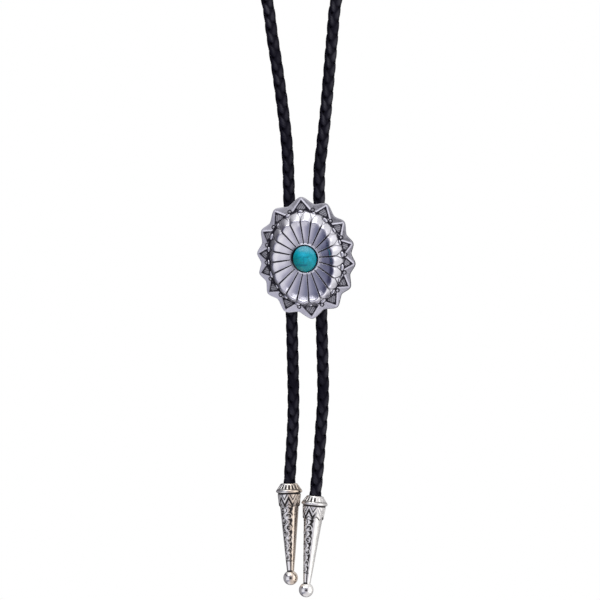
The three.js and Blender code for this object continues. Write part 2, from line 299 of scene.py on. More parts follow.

# %% [markdown]
# ## The fluted face of the concho
# The face is an oval dish between the stone's collar and the rim. Its crest lies a little low and to
# the left, with a fuller shoulder and a filled hollow at the upper right, as a hand-cut pattern has.
# It could be sculpted, but a table of ovals from the collar out to the foot is easier to correct. Each
# row has its half sizes and height, how far the petals crown, bulge and shift with the crest, how deep
# and dark the engraved lines are, how far the lines have forked, how dull the metal is, how far the
# hollow at the upper right is filled, and how much painted shade lies on the left flank.

# %% Ovals of the face
SPOKES = 720
FACE_STEPS = 6
FACE_OVALS = [
    {"across": 6.75, "up": 6.9, "height": 3.9, "line": 0.3, "dark": 0.8, "dull": 0.25},
    {"across": 8.3, "up": 9.2, "height": 4.35, "crown": -0.1, "line": 0.4, "dark": 1.0,
     "shift": 0.25, "dull": 0.1, "fill": 0.1},
    {"across": 10.0, "up": 12.2, "height": 4.97, "crown": -0.2, "line": 0.45, "dark": 1.0,
     "shift": 0.55, "fill": 0.6},
    {"across": 11.6, "up": 15.1, "height": 5.6, "crown": -0.2, "line": 0.45, "dark": 1.0,
     "bulge": 0.15, "shift": 0.85, "fill": 1.0},
    {"across": 12.6, "up": 17.0, "height": 6.24, "crown": -0.05, "line": 0.45, "dark": 1.0,
     "bulge": 0.45, "shift": 1.0, "dull": 0.1, "fill": 0.3},
    {"across": 13.15, "up": 17.7, "height": 6.42, "crown": 0.1, "line": 0.45, "dark": 1.0,
     "bulge": 0.6, "shift": 1.0, "dull": 0.15, "left": 0.1},
    {"across": 13.75, "up": 18.25, "height": 6.1, "crown": 0.2, "line": 0.4, "dark": 0.8,
     "bulge": 0.65, "shift": 1.0, "dull": 0.1, "left": 0.48},
    {"across": 14.75, "up": 19.15, "height": 5.1, "crown": 0.22, "line": 0.25, "dark": 0.5,
     "fork": 0.02, "bulge": 0.45, "shift": 0.75, "dull": 0.16, "left": 0.74},
    {"across": 15.95, "up": 20.35, "height": 3.75, "crown": 0.2,
     "fork": 0.18, "bulge": 0.15, "shift": 0.35, "dull": 0.2, "left": 0.95},
    {"across": 17.0, "up": 21.4, "height": 2.4, "crown": 0.1,
     "fork": 0.34, "dull": 0.25, "left": 0.9},
]
CREST_SHIFT = (-0.6, -1.0)
SHOULDER_DEG = 52
SHOULDER_HALF_DEG = 38
SHOULDER_REACH = 1.1

spoke = np.linspace(0, 2 * math.pi, SPOKES + 1)


def oval_reach(across, up, angle=spoke):
    """How far an oval lies from its middle in each direction."""
    return 1 / np.hypot(np.cos(angle) / across, np.sin(angle) / up)


def face_value(key):
    """One column of the table, run smoothly through its rows. What a row leaves out is nothing."""
    return smooth_route([(oval.get(key, 0), 0, 0) for oval in FACE_OVALS], FACE_STEPS)[:, :1]


def sector(middle_deg, half_deg):
    """One in the middle of a sector of the oval, falling to nothing at its sides."""
    return fade(np.abs(spoke - math.radians(middle_deg)), math.radians(half_deg))


face_reach = oval_reach(face_value("across"), face_value("up"))
crest_move = CREST_SHIFT[0] * np.cos(spoke) + CREST_SHIFT[1] * np.sin(spoke)
shoulder = SHOULDER_REACH * sector(SHOULDER_DEG, SHOULDER_HALF_DEG)
face_reach = face_reach + face_value("shift") * (crest_move + shoulder)
foot_oval = (FACE_OVALS[-1]["across"], FACE_OVALS[-1]["up"])
foot_reach = oval_reach(*foot_oval)
print("face rows:", len(face_reach))

# %% [markdown]
# ## Petals and engraved lines
# Twenty petals lie between engraved lines, and swell outwards so that the crest is scalloped. Below
# the crest each line forks, and the petals end in points on the flank. A line could be cut with a
# boolean, but how far each corner lies from the nearest line is known here, so a line is simply a soft
# valley where that distance is small.

# %% Petals and engraved lines
FLUTES = 20
FLUTE_PHASE_DEG = 1.5
FLUTE_CROWDING = 0.36
GROOVE_HALF = 0.36
FORK_START = 0.05
FORK_DEPTH = 0.2
FILL_DEG = 62
FILL_HALF_DEG = 48
FILL_RAISE = 0.2

oval_turn = np.unwrap(np.arctan2(foot_oval[0] * np.sin(spoke), foot_oval[1] * np.cos(spoke)))
flute_turn = spoke + FLUTE_CROWDING * (oval_turn - spoke) - math.radians(FLUTE_PHASE_DEG)
flute_count = flute_turn * FLUTES / (2 * math.pi)
from_line = np.minimum(flute_count % 1, 1 - flute_count % 1)
arch = 1 - (1 - 2 * from_line) ** 2
face_reach = face_reach + face_value("bulge") * arch
flute_pitch = face_reach * 2 * math.pi / FLUTES
to_groove = from_line * flute_pitch
fork_open = np.maximum(face_value("fork"), 0)
to_fork = np.abs(from_line - fork_open) * flute_pitch
forked = np.clip(fork_open / FORK_START, 0, 1)
lines = np.maximum(face_value("line"), 0) * fade(to_groove, GROOVE_HALF)
filling = FILL_RAISE * face_value("fill") * sector(FILL_DEG, FILL_HALF_DEG)
face_height = face_value("height") + filling + face_value("crown") * arch - lines
face_height = face_height - FORK_DEPTH * forked * fade(to_fork, GROOVE_HALF)
print("face stands", round(face_height.max(), 2), "mm high")

# %% [markdown]
# ## Oxide and painted shade on the face
# A casting like this is dipped in a dark oxide and polished again. The oxide stays in the lines and
# forks, and the crest is left a little dull. The left flank and its forks are darkened further as painted
# shade, for the dark side of the room that the polished flank faces. It could be painted by
# hand, but a mark worked out from the same distances always lies in the lines. The mark is called
# patina: one where oxide or painted shade lies, nothing on polished metal.

# %% Oxide and painted shade on the face
GROOVE_WIDENS = 0.2
GROOVE_CORE = 0.35
FORK_OXIDE = 0.6
FORK_WIDTH = (0.32, 0.08)
LEFT_SHADE_DEG = 195
LOW_DARK_DEG = -65
LOW_POLISH = 0.6


def facing(degrees, more=0.0):
    """One on the side of the oval that faces a direction, falling to nothing on the far side."""
    return np.clip(np.cos(spoke - math.radians(degrees)) + more, 0, 1)


# Painted shade on the left flank and its forks, where the polished flank faces the dark left of the room.
left_shade = facing(LEFT_SHADE_DEG)
low_dark = facing(LOW_DARK_DEG)
groove_wide = GROOVE_HALF + GROOVE_WIDENS * face_value("shift")
groove_dark = np.clip(face_value("dark"), 0, 1) * fade(to_groove, groove_wide, GROOVE_CORE * groove_wide)
fork_dark = FORK_OXIDE * forked * fade(to_fork, *FORK_WIDTH) * (1 + left_shade + low_dark)
crest_dull = face_value("dull") * (1 - LOW_POLISH * low_dark)
flank_shade = np.clip(face_value("left"), 0, 1) * left_shade
face_oxide_and_shade = np.maximum.reduce([groove_dark, fork_dark, crest_dull, flank_shade])
print("oxide on the face:", round(face_oxide_and_shade.mean(), 2))

# %% [markdown]
# ## The collar and the back
# Inside the face a thin upright collar holds the stone over a flat seat. It carries a painted shadow
# on its left, and painted light below, where its wall would face the light from above. Behind, the
# casting is hollow and follows the face at a wall's thickness. Both could be turned as pieces of their
# own, but as rows of the same sheet they leave no seam.

# %% Rows of the collar and the back
# The left column says how much painted shadow lies on each row at the collar's left.
COLLAR_ROWS = [
    {"radius": TINY, "wide": 0.0, "height": 3.6, "patina": 1.0},
    {"radius": 6.1, "wide": -0.2, "height": 3.6, "patina": 1.0},
    {"radius": 6.2, "wide": -0.2, "height": 3.7, "patina": 1.0},
    {"radius": 6.2, "wide": -0.2, "height": 4.9, "patina": 0.9},
    {"radius": 6.25, "wide": -0.2, "height": 5.08, "patina": 0.4, "left": 0.6},
    {"radius": 6.4, "wide": -0.2, "height": 5.2, "patina": 0.1, "left": 0.8},
    {"radius": 6.62, "wide": -0.15, "height": 5.22, "patina": 0.0, "left": 0.5},
    {"radius": 6.75, "wide": -0.15, "height": 5.1, "patina": 0.05, "left": 0.2},
    {"radius": 6.8, "wide": -0.15, "height": 4.9, "patina": 0.15, "left": 0.1},
    {"radius": 6.84, "wide": -0.15, "height": 4.4, "patina": 0.45, "left": 0.1},
]
BACK_OVALS = [
    {"across": 16.2, "up": 20.6, "height": 1.4},
    {"across": 15.4, "up": 19.8, "height": 2.3},
    {"across": 14.6, "up": 19.0, "height": 3.2},
    {"across": 13.4, "up": 17.8, "height": 4.4},
    {"across": 10.5, "up": 13.2, "height": 3.4},
    {"across": 7.0, "up": 7.0, "height": 2.2},
    {"across": TINY, "up": TINY, "height": 2.2},
]
BACK_PATINA = 0.35
COLLAR_SHADE_DEG = 155
COLLAR_LIT_DEG = -90
COLLAR_LIT_MORE = 0.1
COLLAR_LIT_BELOW = 0.7

collar_reach = np.stack([oval_reach(row["radius"] + row["wide"], row["radius"]) for row in COLLAR_ROWS])
collar_height = np.stack([row["height"] + 0 * spoke for row in COLLAR_ROWS])
# Painted light lifts the oxide from the collar's lower part, and painted shadow darkens its left.
collar_lit_below = 1 - COLLAR_LIT_BELOW * facing(COLLAR_LIT_DEG, COLLAR_LIT_MORE)
collar_left_shade = facing(COLLAR_SHADE_DEG)
collar_oxide_and_shade = np.stack(
    [row["patina"] * collar_lit_below + row.get("left", 0) * collar_left_shade for row in COLLAR_ROWS]
)
back_reach = np.stack([oval_reach(row["across"], row["up"]) for row in BACK_OVALS])
back_height = np.stack([row["height"] + 0 * spoke for row in BACK_OVALS])
back_patina = BACK_PATINA + 0 * back_reach
print("collar rows:", len(collar_reach), "back rows:", len(back_reach))

# %% [markdown]
# ## The pointed rim
# Round the foot of the face runs a plate with fourteen scalloped points, which are not quite evenly
# spread. It could be drawn as a curve and filled, but the spokes of the sheet already point outwards,
# so the outline is only a matter of how far each spoke reaches.

# %% Outline of the rim
RIM_POINTS = 14
RIM_VALLEY = (20.7, 24.9)
RIM_TIP = (22.4, 27.6)
SCALLOP_POWER = 1.5
TIP_ROUND = 0.3
POINT_DRIFT = (0, 0.14, 0.12, 0.13, 0.04, -0.03, -0.04, 0.03, 0.1, 0.04, 0.08, 0, 0, -0.02)
RIM_STEP = 2 * math.pi / RIM_POINTS
RULER_MARKS = 40


def step_angle(steps):
    """The direction of a place on the rim, counted in points from the one at the top."""
    drift = np.interp(steps, range(RIM_POINTS), POINT_DRIFT, period=RIM_POINTS)
    return math.pi / 2 + (steps + drift) * RIM_STEP


def rim_edge(steps):
    """How far out the rim's edge lies."""
    from_tip = np.hypot(1 - np.abs(2 * (steps % 1) - 1), TIP_ROUND) - TIP_ROUND
    rise = (1 - from_tip / (math.hypot(1, TIP_ROUND) - TIP_ROUND)) ** SCALLOP_POWER
    least = oval_reach(*RIM_VALLEY, step_angle(steps))
    return least + (oval_reach(*RIM_TIP, step_angle(steps)) - least) * rise


ruler = np.linspace(-RIM_POINTS, RIM_POINTS, RULER_MARKS * RIM_POINTS + 1)
rim_steps = np.interp(spoke, step_angle(ruler), ruler)
rim_to = rim_edge(rim_steps)
print("rim reaches", round(rim_to.min(), 1), "to", round(rim_to.max(), 1), "mm")

# %% Front of the rim
RIM_FRONT = (2.4, 1.5)
FRONT_ROWS = 30
EDGE_BEVEL = 0.7

front_out = np.linspace(0, 1, FRONT_ROWS + 1)[1:, None]
front_reach = foot_reach + (rim_to - EDGE_BEVEL - foot_reach) * front_out
front_height = RIM_FRONT[0] + (RIM_FRONT[1] - RIM_FRONT[0]) * front_out + 0 * spoke
print("front rows:", len(front_reach))

# %% [markdown]
# ## Stamped triangles
# Each point of the rim carries a stamped triangle with a dark outline, darker corners and fine
# hatching. On the real one a punch makes all of it at one blow. Insets and cuts would make it here,
# but the distance to the triangle's three edges does it at once: it raises the triangle, sinks the
# outline and the hatching, and says where oxide lies.

# %% Shape of the triangles
TRIANGLE_BASE_OUT = 0.1
TRIANGLE_APEX_OUT = 0.72
TRIANGLE_HALF_STEP = 0.32
TRIANGLE_RAISE = 0.2
TRIANGLE_SLOPE = (1.0, 0.2)
OUTLINE_WIDTH = (0.45, 0.15)
OUTLINE_DEPTH = 0.15
HATCH_PITCH = 0.85
HATCH_INSET = 0.2
HATCH_DEPTH = 0.12

nearest = np.round(rim_steps)
point_angle = step_angle(nearest)
point_from = oval_reach(*foot_oval, point_angle)
point_to = oval_reach(*RIM_TIP, point_angle)
base_reach = point_from + (point_to - point_from) * TRIANGLE_BASE_OUT
apex = point_from + (point_to - point_from) * TRIANGLE_APEX_OUT
base_out = base_reach * math.cos(TRIANGLE_HALF_STEP * RIM_STEP)
base_half = base_reach * math.sin(TRIANGLE_HALF_STEP * RIM_STEP)
outward = front_reach * np.cos(spoke - point_angle)
sideways = front_reach * np.sin(spoke - point_angle)
slant = np.hypot(apex - base_out, base_half)
to_left = ((apex - outward) * base_half - sideways * (apex - base_out)) / slant
to_right = ((apex - outward) * base_half + sideways * (apex - base_out)) / slant
inside, second = np.sort(np.stack([to_left, to_right, outward - base_out]), axis=0)[:2]
hatch = 0.5 + 0.5 * np.cos(2 * math.pi * to_left / HATCH_PITCH)
hatch = hatch * np.clip((inside - HATCH_INSET) / HATCH_INSET, 0, 1)
outline = fade(np.abs(inside), *OUTLINE_WIDTH)
front_height = front_height + TRIANGLE_RAISE * fade(-inside, *TRIANGLE_SLOPE)
front_height = front_height - OUTLINE_DEPTH * outline - HATCH_DEPTH * hatch
print("triangles:", RIM_POINTS)

# %% Oxide on the triangles, and painted shade round them
OUTLINE_OXIDE = 0.85
OUTLINE_STAIN = (0.55, 0.22)
TRIANGLE_SOFT = 0.2
FILLED_OXIDE = 0.3
HATCH_OXIDE = 0.45
CORNER_WIDTH = (1.15, 0.5)
CORNER_SPILL = 0.9
RIM_SHADE = 0.28
RIM_SHADE_DEG = 45
RIM_SHADE_SWING = 1.03
RIM_HIGHLIGHT_BAND = 1.9
RIM_HIGHLIGHT_WIDTH = (1.2, 0.6)

stained = OUTLINE_OXIDE * fade(np.abs(inside), *OUTLINE_STAIN)
filled = np.clip(inside / TRIANGLE_SOFT + 0.5, 0, 1) * (FILLED_OXIDE + HATCH_OXIDE * hatch)
corners = fade(second, *CORNER_WIDTH) * np.clip(inside / TRIANGLE_SOFT + CORNER_SPILL, 0, 1)
# Painted shade over the rim, heaviest at the upper right and nearly none at the lower left. A band round
# each triangle is kept clear of it, which shows as a painted highlight.
rim_shade_round = RIM_SHADE * (1 + RIM_SHADE_SWING * np.cos(spoke - math.radians(RIM_SHADE_DEG)))
rim_shade = rim_shade_round * fade(inside + RIM_HIGHLIGHT_BAND, *RIM_HIGHLIGHT_WIDTH)
front_oxide_and_shade = np.maximum.reduce([stained, filled, corners, rim_shade])
print("oxide on the rim:", round(front_oxide_and_shade.mean(), 2))

# %% [markdown]
# ## Beads, and the line round the foot
# A small bead sits in each valley of the rim, in a dark ring, and a line of oxide runs along the foot
# of the face. Spheres could be joined on, but a bump in the sheet needs no boolean and leaves the
# casting one skin. The line is thin behind the triangles and heavy beside the beads. On the left it is
# made darker and wider as painted shade.

# %% Beads and foot line
BEAD_RADIUS = 0.58
BEAD_OUT = 0.28
BEAD_RING = 0.78
BEAD_RING_WIDTH = (0.36, 0.14)
FOOT_SHADE_DEG = 180
FOOT_THIN = 0.45
FOOT_THIN_HALF = 0.12
FOOT_SOFT = 0.2
FOOT_LEFT_SHADE = 0.6
FOOT_LOW_LESS = 0.65
FOOT_WIDTH = 0.2
FOOT_HEAVY_WIDTH = 0.6
FOOT_LEFT_SHADE_WIDTH = 0.5
FOOT_CORE = 0.3

valley = np.floor(rim_steps) + 0.5
valley_angle = step_angle(valley)
valley_from = oval_reach(*foot_oval, valley_angle)
bead_reach = valley_from + (rim_edge(valley) - valley_from) * BEAD_OUT
bead_out = front_reach * np.cos(spoke - valley_angle) - bead_reach
bead_side = front_reach * np.sin(spoke - valley_angle)
to_bead = np.hypot(bead_out, bead_side)
bead_ring = fade(np.abs(to_bead - BEAD_RING), *BEAD_RING_WIDTH)
# Painted shade: on the left the foot line is made darker and wider.
left_foot_shade = facing(FOOT_SHADE_DEG)
beside = (np.abs(rim_steps - nearest) - FOOT_THIN_HALF) / FOOT_SOFT + FOOT_LEFT_SHADE * left_foot_shade
foot_dark = FOOT_THIN + (1 - FOOT_THIN) * np.clip(beside, 0, 1)


def foot_line(reach):
    """Oxide along the foot of the face, with painted shade added on the left."""
    heavy = foot_dark * (1 - FOOT_LOW_LESS * low_dark)
    wide = FOOT_WIDTH + FOOT_HEAVY_WIDTH * heavy + FOOT_LEFT_SHADE_WIDTH * left_foot_shade
    return foot_dark * fade(np.abs(reach - foot_reach), wide, FOOT_CORE * heavy)


front_height = front_height + np.sqrt(np.clip(BEAD_RADIUS**2 - to_bead**2, 0, None))
front_oxide_and_shade = np.maximum.reduce([front_oxide_and_shade, bead_ring, foot_line(front_reach)])
face_oxide_and_shade = np.maximum(face_oxide_and_shade, foot_line(face_reach))
print("beads:", len(np.unique(valley % RIM_POINTS)))

# %% [markdown]
# ## Lens facets
# At the end of each engraved line a small lens of bright metal lies across the foot, with a dark
# outline. The lenses differ a little in size, as if cut by hand. A scaled sphere could be joined for
# each, but the face and the rim both have a share of it, so one function sets it into both.

# %% Lenses where the lines meet the rim
LENS_HALF_LONG = 1.6
LENS_HALF_WIDE = 0.7
LENS_TOP = 0.95
LENS_IN = 0.1
LENS_SIZE = 0.8
LENS_SIZE_SWING = 0.2
LENS_SIZE_STEP = 2.3
LENS_OUTLINE = 1.05
LENS_OUTLINE_WIDTH = (0.35, 0.1)


def with_lenses(reach, height, patina):
    """Sets a small lens with a dark outline at the end of each engraved line."""
    size = LENS_SIZE + LENS_SIZE_SWING * np.cos(LENS_SIZE_STEP * np.round(flute_count))
    sidelong = from_line * reach * 2 * math.pi / FLUTES / (LENS_HALF_LONG * size)
    beyond = (reach - foot_reach + LENS_IN) / (LENS_HALF_WIDE * size)
    away = np.hypot(sidelong, beyond)
    dome = RIM_FRONT[0] + LENS_TOP * np.sqrt(np.clip(1 - away**2, 0, 1))
    height = np.where(away < 1, np.maximum(height, dome), height)
    patina = np.where(away < 1, 0, patina)
    return height, np.maximum(patina, fade(np.abs(away - LENS_OUTLINE), *LENS_OUTLINE_WIDTH))


face_height, face_oxide_and_shade = with_lenses(face_reach, face_height, face_oxide_and_shade)
front_height, front_oxide_and_shade = with_lenses(front_reach, front_height, front_oxide_and_shade)
print("lenses:", FLUTES)

# %% [markdown]
# ## The edge of the rim, and the whole casting
# The plate's edge is rounded, with painted shade along the right and the lower right, and turns to a plain
# back. A bevel modifier would round the stamps as well, so the edge has a short table of rows of its
# own. All the rows then become one sheet. A second mark, satin, keeps the rim, the back and the dull
# parts of the face from shining like the polished dish.

# %% All the rows of the rim
RIM_BACK = (1.2, 0.0)
EDGE_ROUND = [
    {"in": 0.5, "down": 0.03, "shade": 0.2},
    {"in": 0.3, "down": 0.1, "shade": 0.5},
    {"in": 0.13, "down": 0.26, "shade": 0.75},
    {"in": 0.03, "down": 0.48, "shade": 0.9},
    {"in": 0.0, "down": 0.72, "shade": 0.9},
    {"in": 0.05, "down": 1.0, "shade": 0.9},
    {"in": 0.22, "down": 1.3, "shade": 0.5},
    {"in": 0.5, "down": 1.5, "shade": 0.4},
]
EDGE_SHADE_DEG = -22
EDGE_SHADE_MORE = 0.1
EDGE_RIM_SHADE = 0.8
BACK_OUTS = (0.8, 0.55, 0.3, 0.05)
BACK_RIM_PATINA = 0.25

# Painted shade on the rounded edge, strongest along the lower right, and the rim's painted shade carried
# onto the edge.
edge_shade = facing(EDGE_SHADE_DEG, EDGE_SHADE_MORE)
rim_rows = [(front_reach, front_height, front_oxide_and_shade)]
for row in EDGE_ROUND:
    reach = rim_to[None, :] - row["in"]
    shade = np.maximum(row["shade"] * edge_shade, EDGE_RIM_SHADE * rim_shade_round)
    rim_rows.append((reach, RIM_FRONT[1] - row["down"] + 0 * reach, shade + 0 * reach))
for out in BACK_OUTS:
    reach = (foot_reach + (rim_to - foot_reach) * out)[None, :]
    height = RIM_BACK[0] + (RIM_BACK[1] - RIM_BACK[0]) * out + 0 * reach
    rim_rows.append((reach, height, BACK_RIM_PATINA + 0 * reach))
rim_reach, rim_height, rim_oxide_and_shade = (np.vstack(parts) for parts in zip(*rim_rows))
print("rim rows:", len(rim_reach))

# %% Join the rows into one casting
concho_reach = np.concatenate([collar_reach, face_reach, rim_reach, back_reach])
concho_height = np.concatenate([collar_height, face_height, rim_height, back_height])
# The patina mark holds oxide and painted shade alike.
concho_oxide_and_shade = np.concatenate([collar_oxide_and_shade, face_oxide_and_shade, rim_oxide_and_shade, back_patina])
concho_right = concho_reach * np.cos(spoke)
concho_upward = concho_reach * np.sin(spoke)
concho_spots = np.stack([concho_right, concho_upward, concho_height], axis=-1)
face_satin = face_value("dull") + 0 * face_reach
concho_satin = np.concatenate([0 * collar_reach, face_satin, 1 + 0 * rim_reach, 1 + 0 * back_reach])
concho_marks = {"patina": concho_oxide_and_shade, "satin": concho_satin}
concho = rolled_sheet("concho_casting", concho_spots, concho_marks, concho_place)

# %% [markdown]
# ## The stone
# The stone is a round turquoise cabochon: a short upright girdle under a low dome, polished all over,
# with a few straight seams, a bluer cloud on the right and a lighter blue painted highlight at the upper
# middle. It is a form for a lathe, which spin could turn. As a sheet rolled round the same middle as the
# collar it also keeps marks, set by their place on its face.

# %% Shape of the cabochon
STONE_ACROSS = 5.3
STONE_UP = 5.8
STONE_BASE = 3.9
STONE_HEIGHT = 3.6
STONE_GIRDLE = 0.9
STONE_FOOT = [(0.0, 0.0), (0.97, 0.0), (1.0, 0.15), (1.0, STONE_GIRDLE)]
STONE_SPOKES = 96
STONE_STEPS = 40

stone_turn = np.linspace(0, 2 * math.pi, STONE_SPOKES + 1)
stone_rows = list(STONE_FOOT)
for step in range(1, STONE_STEPS + 1):
    climb = math.pi / 2 * step / STONE_STEPS
    stone_rows.append((math.cos(climb), STONE_GIRDLE + (STONE_HEIGHT - STONE_GIRDLE) * math.sin(climb)))
stone_out, stone_height = (np.array(column)[:, None] + 0 * stone_turn for column in zip(*stone_rows))
stone_right = STONE_ACROSS * stone_out * np.cos(stone_turn)
stone_upward = STONE_UP * stone_out * np.sin(stone_turn)
stone_spots = np.stack([stone_right, stone_upward, STONE_BASE + stone_height], axis=-1)
print("stone rows:", len(stone_rows))

# %% Seams, clouds and painted highlights of the cabochon
SEAMS = [
    {"from": (-3.8, -2.3), "to": (1.0, -2.7), "half": 0.75, "depth": 0.9},
    {"from": (-0.2, 1.0), "to": (-0.2, -1.5), "half": 0.42, "depth": 0.55},
    {"from": (-0.2, 1.0), "to": (2.3, 0.9), "half": 0.42, "depth": 0.6},
    {"from": (-4.4, 0.3), "to": (-1.2, 1.2), "half": 0.5, "depth": 0.4},
]
BLUE_CLOUDS_AND_HIGHLIGHT = [
    # The first entry is a painted highlight, a lighter blue patch at the upper middle of the dome; the
    # second is a bluer cloud.
    {"spot": (-0.4, 2.3), "half": (2.6, 1.5), "depth": 1.0},
    {"spot": (2.8, -0.2), "half": (1.2, 1.6), "depth": 0.7},
]
BLUE_AND_LIT_LEAN = (0.7, 0.8)
TOP_HIGHLIGHT_LEAN = 0.25
TOP_HIGHLIGHT_FROM = 0.45
TOP_HIGHLIGHT_GAIN = 1.6


def seam_mark(seam):
    """How strongly a straight seam shows at each spot of the stone, seen from the front."""
    start, run = seam["from"], np.subtract(seam["to"], seam["from"])
    ahead = ((stone_right - start[0]) * run[0] + (stone_upward - start[1]) * run[1]) / (run @ run)
    ahead = np.clip(ahead, 0, 1)
    away = np.hypot(stone_right - start[0] - ahead * run[0], stone_upward - start[1] - ahead * run[1])
    return seam["depth"] * fade(away, seam["half"])


def cloud_mark(cloud):
    """How strongly an oval blue patch shows at each spot of the stone."""
    right_share = (stone_right - cloud["spot"][0]) / cloud["half"][0]
    upward_share = (stone_upward - cloud["spot"][1]) / cloud["half"][1]
    return cloud["depth"] * fade(np.hypot(right_share, upward_share), 1.0)


# Painted highlight: the stone is paled towards its top.
pale = (stone_upward + TOP_HIGHLIGHT_LEAN * stone_right) / STONE_UP - TOP_HIGHLIGHT_FROM
stone_marks = {
    "seam": np.maximum.reduce([seam_mark(seam) for seam in SEAMS]),
    # Partly the stone's own colour and partly painted light: bluer and lighter towards the upper right.
    "sky": (BLUE_AND_LIT_LEAN[0] * stone_right + BLUE_AND_LIT_LEAN[1] * stone_upward) / STONE_UP,
    "pale": np.clip(pale, 0, 1) * TOP_HIGHLIGHT_GAIN,
    # The cloud mark also carries the painted highlight at the upper middle.
    "cloud": np.maximum.reduce([cloud_mark(cloud) for cloud in BLUE_CLOUDS_AND_HIGHLIGHT]),
}
stone = rolled_sheet("turquoise_stone", stone_spots, stone_marks, concho_place)

# %% [markdown]
# ## The clip
# Behind the concho a steel plate carries two channels that run on the cords. It is seldom seen, and it
# is a plain piece, so it is made as at the bench: a block, two round bars joined to it, their bores
# cut out, and all edges broken with a small bevel.

# %% Helpers for the clip
CHANNEL_SIDES = 64


def bar(x, radius, height):
    bpy.ops.object.select_all(action="DESELECT")
    bpy.ops.mesh.primitive_cylinder_add(
        vertices=CHANNEL_SIDES, radius=radius, depth=height, location=(x, 0, 0)
    )
    bpy.ops.object.transform_apply(location=True, rotation=True, scale=True)
    return bpy.context.object


def combine(piece, tool, operation):
    """Joins a tool to a piece, or cuts it away, and removes the tool."""
    change = piece.modifiers.new(operation, "BOOLEAN")
    change.operation = operation
    change.object = tool
    change.solver = "EXACT"
    bpy.ops.object.select_all(action="DESELECT")
    piece.select_set(True)
    bpy.context.view_layer.objects.active = piece
    bpy.ops.object.modifier_apply(modifier=change.name)
    bpy.data.objects.remove(tool)


# %% Clip with two channels
CORD_SPACING = 13.6
CLIP_SIZE = (24.0, 1.9, 18.0)
CLIP_MIDDLE_Y = -3.95
CHANNEL_BORE = 3.0
CHANNEL_WALL = 0.6
CLIP_BEVEL = 0.22
BEVEL_FROM_DEG = 40
SMOOTH_TO_DEG = 35

bpy.ops.object.select_all(action="DESELECT")
bpy.ops.mesh.primitive_cube_add(size=1, location=(0, CLIP_MIDDLE_Y, 0))
clip = bpy.context.object
clip.name = clip.data.name = "clip_plate"
clip.scale = CLIP_SIZE
bpy.ops.object.transform_apply(location=True, rotation=True, scale=True)
for x in (-CORD_SPACING / 2, CORD_SPACING / 2):
    combine(clip, bar(x, CHANNEL_BORE + CHANNEL_WALL, CLIP_SIZE[2]), "UNION")
for x in (-CORD_SPACING / 2, CORD_SPACING / 2):
    combine(clip, bar(x, CHANNEL_BORE, 2 * CLIP_SIZE[2]), "DIFFERENCE")
bevel = clip.modifiers.new("broken_edges", "BEVEL")
bevel.width = CLIP_BEVEL
bevel.segments = 2
bevel.limit_method = "ANGLE"
bevel.angle_limit = math.radians(BEVEL_FROM_DEG)
bpy.ops.object.modifier_apply(modifier=bevel.name)
clip.matrix_world = slide_place @ Matrix.Scale(MM, 4)
bpy.ops.object.transform_apply(location=True, rotation=True, scale=True)
bpy.ops.object.shade_smooth_by_angle(angle=math.radians(SMOOTH_TO_DEG))
print("clip_plate has", len(clip.data.polygons), "faces")

# %% [markdown]
# ## The tips
# Each end of the cord is closed by a cast cone: a slotted crown over a smooth ring, a band of chevrons,
# a long body with three panels of scrolls between polished strips, and a ball. A spin could turn the
# plain form, but its relief would have to be modelled on top. So the outline is a short table of drops
# and radii, from the bottom of the cord's socket to the ball, and the relief is raised from its rows.

# %% Outline of a tip
TIP_SPOKES = 288
SOCKET_RADIUS = 3.0
SOCKET_DEPTH = 8.3
SOCKET_LAST_ROW = 8
TIP_ROWS = [
    {"drop": SOCKET_DEPTH, "radius": 0.0, "rows": 1},
    {"drop": SOCKET_DEPTH, "radius": SOCKET_RADIUS, "rows": 4},
    {"drop": 0.3, "radius": SOCKET_RADIUS, "rows": 2},
    {"drop": 0.0, "radius": 3.2, "rows": 1},
    {"drop": 0.0, "radius": 3.5, "rows": 2},
    {"drop": 0.12, "radius": 3.75, "rows": 2},
    {"drop": 0.5, "radius": 4.02, "rows": 14},
    {"drop": 2.6, "radius": 5.42, "rows": 3},
    {"drop": 3.1, "radius": 5.85, "rows": 2},
    {"drop": 3.3, "radius": 5.93, "rows": 2},
    {"drop": 3.7, "radius": 5.93, "rows": 2},
    {"drop": 3.95, "radius": 5.8, "rows": 2},
    {"drop": 4.2, "radius": 5.4, "rows": 2},
    {"drop": 4.5, "radius": 5.0, "rows": 2},
    {"drop": 4.8, "radius": 5.12, "rows": 32},
    {"drop": 10.3, "radius": 4.2, "rows": 108},
    {"drop": 35.0, "radius": 2.05, "rows": 16},
    {"drop": 39.3, "radius": 1.62, "rows": 2},
    {"drop": 39.75, "radius": 1.5, "rows": 0},
]
BALL_RADIUS = 3.3
BALL_CENTRE_DROP = 42.6
BALL_STEPS = 48

tip_drop, tip_radius = [], []
for here, after in zip(TIP_ROWS, TIP_ROWS[1:]):
    for step in range(here["rows"]):
        part = step / here["rows"]
        tip_drop.append(here["drop"] + (after["drop"] - here["drop"]) * part)
        tip_radius.append(here["radius"] + (after["radius"] - here["radius"]) * part)
ball_start = math.asin(TIP_ROWS[-1]["radius"] / BALL_RADIUS)
for step in range(BALL_STEPS + 1):
    swing = ball_start + (math.pi - ball_start) * step / BALL_STEPS
    tip_drop.append(BALL_CENTRE_DROP - BALL_RADIUS * math.cos(swing))
    tip_radius.append(BALL_RADIUS * math.sin(swing))
tip_drop = np.array(tip_drop)[:, None]
tip_radius = np.array(tip_radius)[:, None]
tip_turn = np.linspace(0, 2 * math.pi, TIP_SPOKES + 1)[None, :]
tip_outside = np.arange(len(tip_drop))[:, None] > SOCKET_LAST_ROW
print("tip rows:", len(tip_drop))

